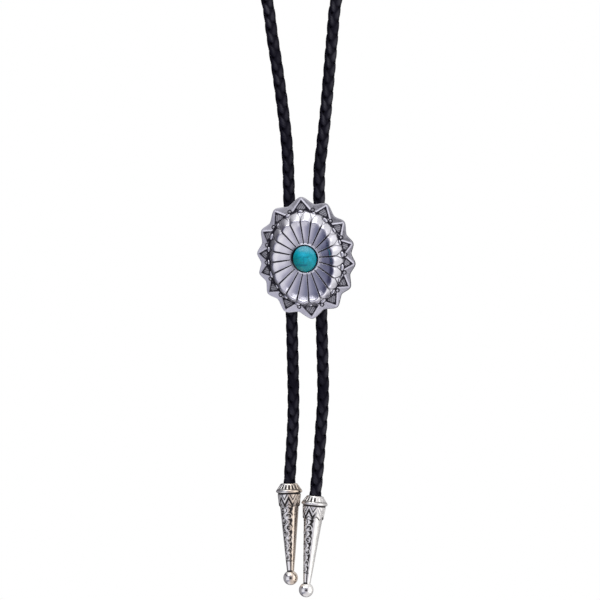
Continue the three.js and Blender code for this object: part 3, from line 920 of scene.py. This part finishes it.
# %% [markdown]
# ## The crown and the chevron band
# The crown is cut with a ring of dark slots. Under the smooth ring a band of nested chevrons runs round
# the tip. It stands a little proud towards its foot, which is pointed under each chevron and has a dark
# line below it. An array of chevrons could be bent round the cone, but folding the direction of each
# spoke into one chevron draws all eight alike.

# %% Crown slots
CROWN_SLOTS = 18
CROWN_MIDDLE = 1.6
CROWN_WIDTH = (1.0, 0.75)
SLOT_WIDTH = (0.62, 0.38)

slot_share = np.abs(tip_turn * CROWN_SLOTS / (2 * math.pi) % 1 - 0.5) * 2
in_crown = fade(np.abs(tip_drop - CROWN_MIDDLE), *CROWN_WIDTH) * tip_outside
slot = fade(slot_share, *SLOT_WIDTH) * in_crown
print("crown slots:", CROWN_SLOTS)

# %% Chevron band
CHEVRONS = 8
CHEVRON_RAISE = 0.3
CHEVRON_SLOPE = 0.64
FAR = 9
LIGHT_STRIPES = ((-FAR, 0.35), (0.5, 0.75), (1.1, FAR))
STRIPE_SOFT = 0.06
BAND_TOP = 4.9
BAND_FOOT = 10.4
BAND_LIFT = 0.38
BAND_POINT = (1.05, 0.26)
BAND_SOFT = 0.02
BAND_EDGE_WIDTH = (0.34, 0.14)


def between(value, low, high, soft):
    """One from low to high, with soft ends."""
    return np.clip((value - low) / soft + 0.5, 0, 1) * np.clip((high - value) / soft + 0.5, 0, 1)


def chevron_band(phase):
    """Relief, patina and dark foot of nested chevrons, with the middle of one at the given direction."""
    from_axis = np.abs(((tip_turn - phase) * CHEVRONS / (2 * math.pi) + 0.5) % 1 - 0.5) * 2
    part = (tip_drop - BAND_TOP) / (BAND_FOOT - BAND_TOP)
    nested = part + CHEVRON_SLOPE * from_axis
    light = sum(between(nested, low, high, STRIPE_SOFT) for low, high in LIGHT_STRIPES)
    foot = BAND_POINT[0] - BAND_POINT[1] * from_axis
    inside_band = between(part, 0, foot, BAND_SOFT) * tip_outside
    edge = fade(np.abs(part - foot) * (BAND_FOOT - BAND_TOP), *BAND_EDGE_WIDTH) * tip_outside
    relief = inside_band * (CHEVRON_RAISE * (light - 0.5) + BAND_LIFT * np.clip(part, 0, 1))
    return relief, inside_band * (1 - light), edge


print("chevrons:", CHEVRONS)

# %% [markdown]
# ## The scroll panels
# Three panels on the body carry a wavy stem with leaves to its left and right by turns, each with a
# curl and an eye cut into it. The ground between them is dark, and a broken dark border runs down each
# side. They could be carved by hand, but the strokes are so small that a repeat of one leaf, a little
# different each time, reads the same.

# %% Leaves of the scroll
SCROLLS = 9
LEAF_LEAN = (0.45, 0.05)
LEAF_LEAN_STEP = 3
LEAF_HALF = (0.62, 0.56)
LEAF_EDGE = (1.0, 0.86)
CURL_RADIUS = 0.48
CURL_WIDTH = (0.3, 0.14)
CURL_TURN = 2.1
CURL_OPENS = (1.8, 0.3)
EYE_WIDTH = (0.2, 0.08)


def scroll_leaf(number, across, down):
    """One leaf of a panel, and the curl and eye that are cut into it."""
    side_of_stem = 1 if number % 2 else -1
    lean = (LEAF_LEAN[0] + LEAF_LEAN[1] * math.cos(LEAF_LEAN_STEP * number)) * side_of_stem
    leaf_across = (across - lean) / LEAF_HALF[0]
    leaf_down = (down * SCROLLS - number - 0.5) / LEAF_HALF[1]
    away = np.hypot(leaf_across, leaf_down)
    opening = 1 - np.cos(np.arctan2(leaf_down, leaf_across) - CURL_TURN * number)
    curl = fade(np.abs(away - CURL_RADIUS), *CURL_WIDTH)
    curl = curl * np.clip(opening * CURL_OPENS[0] - CURL_OPENS[1], 0, 1)
    return fade(away, *LEAF_EDGE), np.maximum(curl, fade(away, *EYE_WIDTH))


print("leaves in a panel:", SCROLLS)

# %% Panels on the body
PANELS = 3
PANEL_HALF = math.radians(43)
PANEL_WAVE = 0.1
PANEL_EDGE = (1.0, 0.92)
PANEL_ENDS = (0.5, 0.49)
BODY_TOP = 10.6
BODY_FOOT = 34.6
STEM_SWING = 0.42
STEM_WIDTH = (0.27, 0.16)
STEM_LINE = 0.31
STEM_LINE_WIDTH = (0.16, 0.06)
BORDER_AT = 0.97
BORDER_WIDTH = (0.14, 0.05)
BORDER_ENDS = (0.52, 0.5)
BORDER_BREAKS = 3
BORDER_KEPT = (0.6, 0.7)
BORDER_PHASE = 0.6
NECK_DROP = 37.2
NECK_LONG = (2.1, 1.9)
NECK_LINE = 0.75
NECK_LINE_WIDTH = (0.26, 0.12)
BODY_RINGS = ((34.9, (0.3, 0.1)), (39.6, (0.5, 0.25)))
SCROLL_RAISE = 0.3
SCROLL_LEVEL = 0.6


def dark_rings(rings):
    """Oxide in grooves that run right round a tip, from pairs of a drop and a width."""
    return np.maximum.reduce([fade(np.abs(tip_drop - drop), *width) for drop, width in rings])


def scroll_panels(phase, border_dark):
    """Relief and patina of the body, and where its panels lie, one of them at the given direction."""
    around = (tip_turn - phase + math.pi / PANELS) % (2 * math.pi / PANELS) - math.pi / PANELS
    across = around / PANEL_HALF
    down = (tip_drop - BODY_TOP) / (BODY_FOOT - BODY_TOP)
    from_middle = np.abs(down - 0.5)
    waved = np.abs(across) - PANEL_WAVE * np.sin(down * SCROLLS * 2 * math.pi)
    within = fade(waved, *PANEL_EDGE) * fade(from_middle, *PANEL_ENDS) * tip_outside
    from_stem = np.abs(across - STEM_SWING * np.sin(down * SCROLLS * math.pi))
    metal = fade(from_stem, *STEM_WIDTH)
    strokes = fade(np.abs(from_stem - STEM_LINE), *STEM_LINE_WIDTH)
    for number in range(SCROLLS):
        leaf, cut = scroll_leaf(number, across, down)
        metal = np.maximum(metal, leaf)
        strokes = np.maximum(strokes * (1 - leaf), cut)
    light = metal * (1 - strokes)
    kept = np.sin(down * BORDER_BREAKS * 2 * math.pi + BORDER_PHASE)
    kept = np.clip(BORDER_KEPT[0] + BORDER_KEPT[1] * kept, 0, 1)
    border = fade(np.abs(waved - BORDER_AT), *BORDER_WIDTH) * fade(from_middle, *BORDER_ENDS) * kept
    neck = fade(np.abs(tip_drop - NECK_DROP), *NECK_LONG)
    neck = neck * fade(np.abs(np.abs(across) - NECK_LINE), *NECK_LINE_WIDTH)
    rings = dark_rings(BODY_RINGS) + 0 * across
    patina = np.maximum.reduce([within * (1 - light), border_dark * border, neck, rings]) * tip_outside
    return SCROLL_RAISE * within * (light - SCROLL_LEVEL), patina, within


print("panels:", PANELS)

# %% [markdown]
# ## Wear, painted light and shade, and both tips
# Both tips come from one casting and differ in their turn and their wear. One side of each has rubbed
# against clothes, which took down the scrolls. There the oxide is also taken away as painted light, for
# the strong lamp on the right that washes that side out. The left tip has a painted warm reflection on
# its right, the right one a strip of painted shade there, and each ball has a small pit in front that is
# dark as a painted reflection. Copies of one mesh couldn't differ like this, so one function makes a tip
# from its row in a table. Bearings are in degrees, nothing towards the front and more to the right, and
# each strip of wear, painted light and painted shade has its two bearings and its strength.

# %% Both tips
TIPS = [
    {"name": "tip_casting_left", "crown": (-6.5, -129.2, -367.5), "lean": 0.95, "panel": -25,
     "chevron": 18, "border": 0.5, "worn_and_lit": (26, 120, 0.8), "worn_and_lit_below": BAND_TOP, "warm": (-8, 150, 0.8)},
    {"name": "tip_casting_right", "crown": (5.3, -131.2, -373.1), "lean": -5.5, "panel": -42,
     "chevron": -4.5, "border": 0.85, "worn_and_lit": (8, 140, 0.88), "side_shade": (34, 150, 0.32)},
]
NO_WEAR = (0, 0, 0.0)
SLOT_DEPTH = 0.35
CROWN_RINGS = ((4.45, (0.5, 0.3)), (2.75, (0.25, 0.08)))
PIT_RADIUS = 0.95
PIT_CORE = 0.2
PIT_DEPTH = 0.12
PIT_REFLECTION_DARK = 0.95
EDGE_OXIDE = 0.85
STRIP_SOFT_DEG = 16
WORN_AND_LIT_GREY = 0.2
WORN_AND_LIT_BAND_GREY = 0.7
BAND_FADE = 0.2
BALL_BRIGHT = 0.6

tip_bearing = (np.degrees(tip_turn) + 270) % 360 - 180
always_dark = np.maximum(dark_rings(CROWN_RINGS) * tip_outside, 1.0 - tip_outside) + 0 * tip_turn
in_band = between(tip_drop, BAND_TOP, BAND_FOOT, BAND_FADE)
on_ball = tip_drop > BALL_CENTRE_DROP - BALL_RADIUS
to_pit = BALL_RADIUS * np.arccos(np.clip(-tip_radius * np.sin(tip_turn) / BALL_RADIUS, -1, 1))
# The pit is a small dent, and its dark colour is a painted reflection.
pit_and_reflection = fade(to_pit, PIT_RADIUS, PIT_CORE) * on_ball


def strip(low, high, strength):
    """A strip between two bearings on the side of a tip, with soft ends, for wear and for painted light
    and shade.
    """
    return strength * between(tip_bearing, low, high, STRIP_SOFT_DEG) + 0 * tip_drop


def tip(
    name, crown, lean, panel, chevron, border, worn_and_lit, worn_and_lit_below=0.0, warm=NO_WEAR, side_shade=NO_WEAR
):
    """One tip, with the turn of its panels and chevrons, its wear and its painted light and shade."""
    scrolls, scroll_patina, in_panel = scroll_panels(math.radians(panel - 90), border)
    chevrons, band_patina, band_edge = chevron_band(math.radians(chevron - 90))
    # Where rubbed, the scrolls are taken down, and their oxide is lifted as painted light from the strong
    # lamp on the right.
    rubbed = strip(*worn_and_lit) * (tip_drop > worn_and_lit_below)
    reach = tip_radius + scrolls * (1 - rubbed) + chevrons - SLOT_DEPTH * slot - PIT_DEPTH * pit_and_reflection
    reach = np.where(tip_radius < TINY, 0, reach)
    cut = np.maximum.reduce([scroll_patina, band_patina, slot]) * (1 - rubbed)
    cut = cut + WORN_AND_LIT_GREY * rubbed * np.maximum(in_panel, WORN_AND_LIT_BAND_GREY * in_band)
    # Painted shade in a strip down the right of the right tip, lighter on its ball.
    dull = strip(*side_shade) * (1 - BALL_BRIGHT * on_ball)
    patina = np.maximum.reduce([cut, PIT_REFLECTION_DARK * pit_and_reflection, EDGE_OXIDE * band_edge, always_dark, dull])
    spots = np.stack([reach * np.cos(tip_turn), reach * np.sin(tip_turn), -tip_drop + 0 * reach], axis=-1)
    # The warm mark is a painted warm reflection on the left tip's right side.
    marks = {"patina": patina, "warm": strip(*warm)}
    return rolled_sheet(name, spots, marks, moved(crown) @ turn(-lean, "Y"))


tips = [tip(**row) for row in TIPS]

# %% [markdown]
# ## Shader arithmetic
# A finish is easier to read as sums than as boxes and wires. This small class stands for one socket of
# a material. Adding or multiplying two of them adds a Math node, and any other node comes from one
# method that takes the kind of node, its settings, and what goes into its sockets.


# %% A socket that can be reckoned with
class Shade:
    def __init__(self, tree, socket=None):
        self.tree = tree
        self.socket = socket

    def node(self, kind, settings=None, inputs=None, out=0):
        made = self.tree.nodes.new(kind)
        for key, value in (settings or {}).items():
            if key == "stops":
                ramp = made.color_ramp
                while len(ramp.elements) < len(value):
                    ramp.elements.new(1.0)
                for element, (position, colour) in zip(ramp.elements, value):
                    element.position = position
                    element.color = (*colour, 1)
            else:
                setattr(made, key, value)
        for key, value in (inputs or {}).items():
            if isinstance(value, Shade):
                self.tree.links.new(value.socket, made.inputs[key])
            else:
                made.inputs[key].default_value = value
        return Shade(self.tree, made.outputs[out])

    def maths(self, operation, first, second=0.0):
        return self.node("ShaderNodeMath", {"operation": operation}, {0: first, 1: second})

    def __add__(self, other):
        return self.maths("ADD", self, other)

    def __sub__(self, other):
        return self.maths("SUBTRACT", self, other)

    def __rsub__(self, other):
        return self.maths("SUBTRACT", other, self)

    def __mul__(self, other):
        return self.maths("MULTIPLY", self, other)

    def __abs__(self):
        return self.maths("ABSOLUTE", self)

    def clamped(self):
        return self.node("ShaderNodeClamp", {}, {0: self})

    __radd__ = __add__
    __rmul__ = __mul__


# %% Helpers that make a finish
def new_finish(name):
    """A fresh material, its main shader, and a socket to reckon from."""
    finish = bpy.data.materials.new(name)
    finish.use_nodes = True
    main = finish.node_tree.nodes["Principled BSDF"]
    return finish, main, Shade(finish.node_tree)


def feed(main, shades):
    """Inputs that change over the surface."""
    for socket, shade in shades.items():
        shade.tree.links.new(shade.socket, main.inputs[socket])


def steady(main, values):
    """Inputs that are the same all over the surface."""
    for socket, value in values.items():
        main.inputs[socket].default_value = value


def mark(start, name):
    """A mark that is kept at the corners of the piece."""
    return start.node("ShaderNodeAttribute", {"attribute_name": name}, out="Fac")


def mixed(start, factor, first, second):
    """One colour going over into another."""
    values = {0: factor, 6: first, 7: second}
    return start.node("ShaderNodeMix", {"data_type": "RGBA"}, values, out=2)


def noise(start, scale, detail):
    """A cloudy pattern that is fixed to the piece."""
    place = start.node("ShaderNodeTexCoord", out="Object")
    return start.node("ShaderNodeTexNoise", {}, {"Vector": place, "Scale": scale, "Detail": detail})


def bumped(start, strength, distance, height):
    """Fine relief that is too small to model."""
    return start.node("ShaderNodeBump", {}, {"Strength": strength, "Distance": distance, "Height": height})


def dress(piece, finish):
    """Puts a finish on a piece."""
    piece.data.materials.append(finish)
    print(piece.name, "wears", finish.name, "of", len(finish.node_tree.nodes), "nodes")


# %% [markdown]
# ## Black leather
# The laces are dyed black all through and finished with a little wax, so they are nearly black, with a
# faint cool sheen on the crowns that rub against a shirt. A picture of leather would stretch along the
# laces. The marks kept on them say how high each spot lies, how far from the lace's edge, and whether
# it faces outwards. They lighten the crowns in patches, partly as wax wear and partly as painted light
# on the crowns and on the side that faces the front, and keep the lace edges and crossings dark as
# painted shade.

# %% Leather finish
LEATHER_GRAIN = (1600.0, 3.0)
LEATHER_PATCHES = (70.0, 2.0)
DEEP_BLACK = (0.0036, 0.003, 0.007, 1)
LIT_RUBBED_BLACK = (0.015, 0.0135, 0.025, 1)
COOL_SHEEN = (0.82, 0.80, 1.0, 1)
CROWN_FROM = 0.89
CROWN_GAIN = 12.0
LACE_EDGE = 0.84
LACE_EDGE_GAIN = 6.0
PATCH_GAIN = 3.0
PATCH_LEVEL = 0.75
LEATHER_ROUGH = 0.62
WAX_SMOOTHS = 0.15
GRAIN_ROUGHENS = 0.1
GRAIN_BUMP = (0.25, 0.0002)
WAX_COAT = 0.8

leather, leather_main, start = new_finish("black_leather")
grain = noise(start, *LEATHER_GRAIN)
patches = noise(start, *LEATHER_PATCHES)
# Painted light on the crowns and on the outward side, painted shade in the hollows and at the lace edges,
# mixed with patches of wax wear.
crown_light = ((mark(start, "height") - CROWN_FROM) * CROWN_GAIN).clamped()
clear_of_edge_shade = ((LACE_EDGE - abs(mark(start, "across"))) * LACE_EDGE_GAIN).clamped()
patchy = ((patches - 0.5) * PATCH_GAIN + PATCH_LEVEL).clamped()
waxed_and_lit = (crown_light * clear_of_edge_shade * mark(start, "rubbed") * patchy).clamped()
feed(leather_main, {
    "Base Color": mixed(start, waxed_and_lit, DEEP_BLACK, LIT_RUBBED_BLACK),
    "Roughness": LEATHER_ROUGH - waxed_and_lit * WAX_SMOOTHS + grain * GRAIN_ROUGHENS,
    "Coat Weight": waxed_and_lit * WAX_COAT,
    "Normal": bumped(start, *GRAIN_BUMP, grain),
})
steady(leather_main, {"Coat Roughness": 0.38, "Specular Tint": COOL_SHEEN, "Specular IOR Level": 0.1})
dress(cord_plait, leather)

# %% [markdown]
# ## Antiqued silver
# The castings are silver plated, dipped in a dark oxide, and polished again, so the oxide stays only
# in lines and hollows. Two materials with a mask would do it, but one is simpler: the patina
# mark mixes bright metal with a soft cast skin and a dark cool oxide that hardly shines, and the same
# dark colour also lays painted shade and painted reflections. The satin mark roughens what was never
# polished, and the warm mark tints a painted warm reflection.

# %% Silver finish
SILVER_CLOUDS = (260.0, 3.0)
SILVER_SPECKS = (1100.0, 3.0)
SILVER_SKIN = (2600.0, 2.0)
SKIN_BUMP = (0.12, 0.0001)
OXIDE_LEAST = 0.75
OXIDE_CLOUDS = 0.3
OXIDE_POLISHED = 0.06
OXIDE_UNLIKE_METAL = 0.55
WARM_REFLECTION_LEAST = 0.5
WARM_REFLECTION_TINT = (0.66, 0.54, 0.43, 1)
CLOUDS_ROUGHEN = 0.06
OXIDE_ROUGHENS = 0.25
SATIN_ROUGHENS = 0.55


def antiqued(name, bright, dark, roughness):
    """Silver with its own bright metal, oxide and polish."""
    finish, main, start = new_finish(name)
    cloud = noise(start, *SILVER_CLOUDS)
    specks = noise(start, *SILVER_SPECKS)
    skin = noise(start, *SILVER_SKIN)
    # The patina mark lays dark oxide, and also painted shade and painted reflections where they were
    # marked.
    spread = mark(start, "patina") * (OXIDE_LEAST + specks)
    oxide_and_shade_share = (spread + (cloud - 0.5) * OXIDE_CLOUDS - OXIDE_POLISHED).clamped()
    # A painted warm reflection tints the metal where the warm mark lies.
    metal = mixed(start, mark(start, "warm") * (WARM_REFLECTION_LEAST + cloud), (*bright, 1), WARM_REFLECTION_TINT)
    roughened = roughness + cloud * CLOUDS_ROUGHEN + oxide_and_shade_share * OXIDE_ROUGHENS
    feed(main, {
        "Base Color": mixed(start, oxide_and_shade_share, metal, (*dark, 1)),
        "Metallic": 1.0 - oxide_and_shade_share * OXIDE_UNLIKE_METAL,
        "Roughness": roughened + mark(start, "satin") * SATIN_ROUGHENS,
        "Normal": bumped(start, *SKIN_BUMP, skin),
    })
    return finish


dress(concho, antiqued("antiqued_silver_concho", (0.80, 0.79, 0.85), (0.018, 0.015, 0.028), 0.13))
tip_silver = antiqued("antiqued_silver_tips", (0.84, 0.82, 0.80), (0.020, 0.016, 0.016), 0.18)
for piece in tips:
    dress(piece, tip_silver)

# %% [markdown]
# ## Turquoise
# The stone runs from sky blue to a greener teal in soft clouds, bluer and lighter towards the upper
# right partly as painted light, with a painted highlight that pales it towards the top, and with a few
# dark seams and faint dark veins. Noise alone would put the blue anywhere, so the marks kept on the stone
# say where it lies, and noise only breaks it up. A coat over the colour gives the glassy polish.

# %% Turquoise finish
STONE_CLOUDS = (230.0, 3.0)
STONE_VEINS = (330.0, 4.0)
VEIN_SHARP = 34.0
VEIN_STRENGTH = 0.3
BLUE_BY_CLOUD = 2.2
BLUE_BY_LIT_SIDE = 0.5
BLUE_LEVEL = 0.55
CLOUD_AND_HIGHLIGHT_STRENGTH = 0.75
TOP_HIGHLIGHT_LEAST = 0.5
STONE_ROUGH = 0.34
VEIN_ROUGHENS = 0.2
TEAL = (0.0, 0.225, 0.225, 1)
SKY_BLUE = (0.0, 0.39, 0.51, 1)
TOP_HIGHLIGHT_BLUE = (0.16, 0.45, 0.56, 1)
CLOUD_AND_HIGHLIGHT_BLUE = (0.03, 0.50, 0.70, 1)
SEAM_BLUE = (0.0, 0.13, 0.20, 1)
VEIN_GREEN = (0.02, 0.09, 0.09, 1)

turquoise, stone_main, start = new_finish("turquoise_polish")
clouds = noise(start, *STONE_CLOUDS)
vein = (1.0 - abs(noise(start, *STONE_VEINS) - 0.5) * VEIN_SHARP).clamped()
# Bluer and lighter towards the upper right, partly painted light.
blueness = ((clouds - 0.5) * BLUE_BY_CLOUD + mark(start, "sky") * BLUE_BY_LIT_SIDE + BLUE_LEVEL).clamped()
body = mixed(start, blueness, TEAL, SKY_BLUE)
# Painted highlight towards the top of the stone.
body = mixed(start, (mark(start, "pale") * (TOP_HIGHLIGHT_LEAST + clouds)).clamped(), body, TOP_HIGHLIGHT_BLUE)
body = mixed(start, mark(start, "cloud") * CLOUD_AND_HIGHLIGHT_STRENGTH, body, CLOUD_AND_HIGHLIGHT_BLUE)
body = mixed(start, mark(start, "seam"), body, SEAM_BLUE)
feed(stone_main, {
    "Base Color": mixed(start, vein * VEIN_STRENGTH, body, VEIN_GREEN),
    "Roughness": STONE_ROUGH + vein * VEIN_ROUGHENS,
})
steady(stone_main, {"Specular IOR Level": 0.12, "Coat Weight": 0.45, "Coat Roughness": 0.2})
dress(stone, turquoise)

# %% [markdown]
# ## Clip steel
# The clip is plain plated steel, brushed along its length and a little scuffed. A noise that is
# stretched by a Mapping node draws the brushing without a picture.

# %% Steel finish
BRUSH_STRETCH = (2200.0, 2200.0, 90.0)
BRUSH_BUMP = (0.15, 0.0001)
STEEL_SCUFFS = (180.0, 3.0)
STEEL_DARK = (0.46, 0.46, 0.48, 1)
STEEL_BRIGHT = (0.66, 0.66, 0.68, 1)
STEEL_ROUGH = 0.26
BRUSH_ROUGHENS = 0.2

steel, steel_main, start = new_finish("brushed_steel")
place = start.node("ShaderNodeTexCoord", out="Object")
stretched = start.node("ShaderNodeMapping", {}, {"Vector": place, "Scale": BRUSH_STRETCH})
brushing = start.node("ShaderNodeTexNoise", {}, {"Vector": stretched, "Scale": 1.0, "Detail": 2.0})
feed(steel_main, {
    "Base Color": mixed(start, noise(start, *STEEL_SCUFFS), STEEL_DARK, STEEL_BRIGHT),
    "Roughness": STEEL_ROUGH + brushing * BRUSH_ROUGHENS,
    "Normal": bumped(start, *BRUSH_BUMP, brushing),
})
steady(steel_main, {"Metallic": 1.0})
dress(clip, steel)

# %% [markdown]
# ## The room
# The tie hangs in a white studio. Polished metal shows what stands round it, so the room matters more
# than the lamps: bright on the right and above, grey in front, and dark on the left. Cards could be
# set up all round, but a ramp by the bearing of each ray paints the whole room at once. To the camera
# itself the background is white.

# %% World
ROOM_BY_BEARING = [
    (-180, (0.32, 0.31, 0.33)),
    (-150, (0.14, 0.13, 0.16)),
    (-110, (0.03, 0.025, 0.05)),
    (-85, (0.035, 0.035, 0.07)),
    (-75, (0.05, 0.05, 0.10)),
    (-64, (0.11, 0.115, 0.19)),
    (-53, (0.16, 0.165, 0.25)),
    (-42, (0.20, 0.21, 0.30)),
    (-28, (0.28, 0.285, 0.38)),
    (-18, (0.36, 0.36, 0.45)),
    (-8, (0.43, 0.42, 0.51)),
    (2, (0.55, 0.54, 0.63)),
    (10, (0.66, 0.65, 0.73)),
    (20, (0.76, 0.75, 0.81)),
    (34, (0.82, 0.81, 0.85)),
    (46, (0.90, 0.89, 0.91)),
    (75, (1.0, 1.0, 1.0)),
    (105, (1.0, 1.0, 1.0)),
    (128, (0.72, 0.71, 0.72)),
    (150, (0.65, 0.64, 0.65)),
    (180, (0.32, 0.31, 0.33)),
]
ROOM_SLANT = 0.083
WHITE = (1.0, 1.0, 1.0, 1)
BELOW_FRONT = (0.75, 0.74, 0.78, 1)
BELOW_BACK = (0.95, 0.94, 0.98, 1)
BELOW_FROM = 0.67
BELOW_GAIN = 4.5
ABOVE_FROM = 0.52
ABOVE_GAIN = 2.6

world = bpy.data.worlds.new("studio")
world.use_nodes = True
bpy.context.scene.world = world
start = Shade(world.node_tree)
look = start.node("ShaderNodeTexCoord", out="Generated")
right, backward, upward = (
    start.node("ShaderNodeSeparateXYZ", {}, {0: look}, out=axis) for axis in range(3)
)
bearing = start.maths("ARCTAN2", right, 0 - backward) * (0.5 / math.pi) + 0.5 - upward * ROOM_SLANT
stops = [(degrees / 360 + 0.5, colour) for degrees, colour in ROOM_BY_BEARING]
room = start.node("ShaderNodeValToRGB", {"stops": stops}, {0: bearing})
below = mixed(start, (backward + 0.5).clamped(), BELOW_FRONT, BELOW_BACK)
room = mixed(start, ((0 - upward - BELOW_FROM) * BELOW_GAIN).clamped(), room, below)
room = mixed(start, ((upward - ABOVE_FROM) * ABOVE_GAIN).clamped(), room, WHITE)
seen = start.node("ShaderNodeLightPath", out="Is Camera Ray")
feed(world.node_tree.nodes["Background"], {"Color": mixed(start, seen, room, WHITE)})
bpy.context.scene.view_settings.view_transform = "Standard"
print("room of", len(stops), "bearings")

# %% [markdown]
# ## The softboxes
# Four large softboxes light the whole tie from the right, above, the left and high in front. Four
# small cards stand close to the cords and the tips and put the narrow lights along their sides, as a
# photographer does with strips of white paper. Area lamps do both, and none shows to the camera.

# %% Softboxes
TIPS_MIDDLE = (0.0, -0.13, -0.395)
CORDS_HIGH = (0.005, -0.14, -0.18)
CORDS_TOP = (0.0, -0.13, -0.15)
SOFTBOXES = [
    {"name": "key_right", "spot": (1.2, -0.8, 0.2), "size": 0.8, "watts": 1.3, "aim": VIEW_CENTRE},
    {"name": "top", "spot": (0.0, -0.4, 1.0), "size": 0.5, "watts": 2.4, "aim": VIEW_CENTRE},
    {"name": "fill_left", "spot": (-0.9, -1.1, 0.9), "size": 0.8, "watts": 4.6, "aim": VIEW_CENTRE},
    {"name": "front_high", "spot": (0.3, -1.3, 0.9), "size": 0.6, "watts": 1.2, "aim": CORDS_TOP},
    {"name": "cords_high", "spot": (-0.05, -0.36, -0.08), "size": 0.14, "watts": 0.11, "aim": CORDS_HIGH},
    {"name": "tips_front_left", "spot": (-0.075, -0.195, -0.42), "size": 0.09, "watts": 0.018,
     "aim": TIPS_MIDDLE},
    {"name": "tips_left", "spot": (-0.09, -0.11, -0.42), "size": 0.12, "watts": 0.014, "aim": TIPS_MIDDLE},
    {"name": "tips_right", "spot": (0.085, -0.17, -0.42), "size": 0.1, "watts": 0.021, "aim": TIPS_MIDDLE},
]
for box in SOFTBOXES:
    bpy.ops.object.light_add(type="AREA", location=box["spot"])
    lamp = bpy.context.object
    lamp.name = box["name"]
    lamp.data.size = box["size"]
    lamp.data.energy = box["watts"]
    lamp.visible_camera = False
    aim = Vector(box["aim"]) - lamp.location
    lamp.rotation_euler = aim.to_track_quat("-Z", "Y").to_euler()
print("softboxes:", len(SOFTBOXES))

# %% [markdown]
# ## The floor
# A pale round floor lies well below the tips. It is only part of the stage, so one filled circle is
# enough, and the polished metal doesn't show it.

# %% Floor
FLOOR_MIDDLE = (0, -0.07, -0.62)
FLOOR_RADIUS = 2.0
FLOOR_SIDES = 96
FLOOR_SPECKS = (40.0, 2.0)
FLOOR_PALE = (0.86, 0.86, 0.86, 1)
FLOOR_PALER = (0.9, 0.9, 0.9, 1)

bpy.ops.object.select_all(action="DESELECT")
bpy.ops.mesh.primitive_circle_add(
    vertices=FLOOR_SIDES, radius=FLOOR_RADIUS, fill_type="NGON", location=FLOOR_MIDDLE
)
floor = bpy.context.object
floor.name = "studio_floor"
floor_paint, floor_main, start = new_finish("pale_floor")
feed(floor_main, {"Base Color": mixed(start, noise(start, *FLOOR_SPECKS), FLOOR_PALE, FLOOR_PALER)})
steady(floor_main, {"Roughness": 0.8})
dress(floor, floor_paint)
floor.visible_glossy = False

# %% [markdown]
# ## Put it together
# Each piece rides on the body of the solid that it stands for, and that solid is hidden.

# %% Ride and replace
PARTS = [
    {"piece": cord_plait, "body": "cord", "node": "braided_cord", "slot": "leather"},
    {"piece": concho, "body": "slide", "node": "concho", "slot": "concho_silver"},
    {"piece": stone, "body": "slide", "node": "turquoise_cabochon", "slot": "turquoise"},
    {"piece": clip, "body": "slide", "node": "slide_clip", "slot": "clip_steel"},
    {"piece": tips[0], "body": "cord", "node": "tip_left", "slot": "tip_silver"},
    {"piece": tips[1], "body": "cord", "node": "tip_right", "slot": "tip_silver"},
]
for part in PARTS:
    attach(part["piece"], part["body"])
    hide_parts(part["node"])
    print(part["piece"].name, "rides on", part["body"])
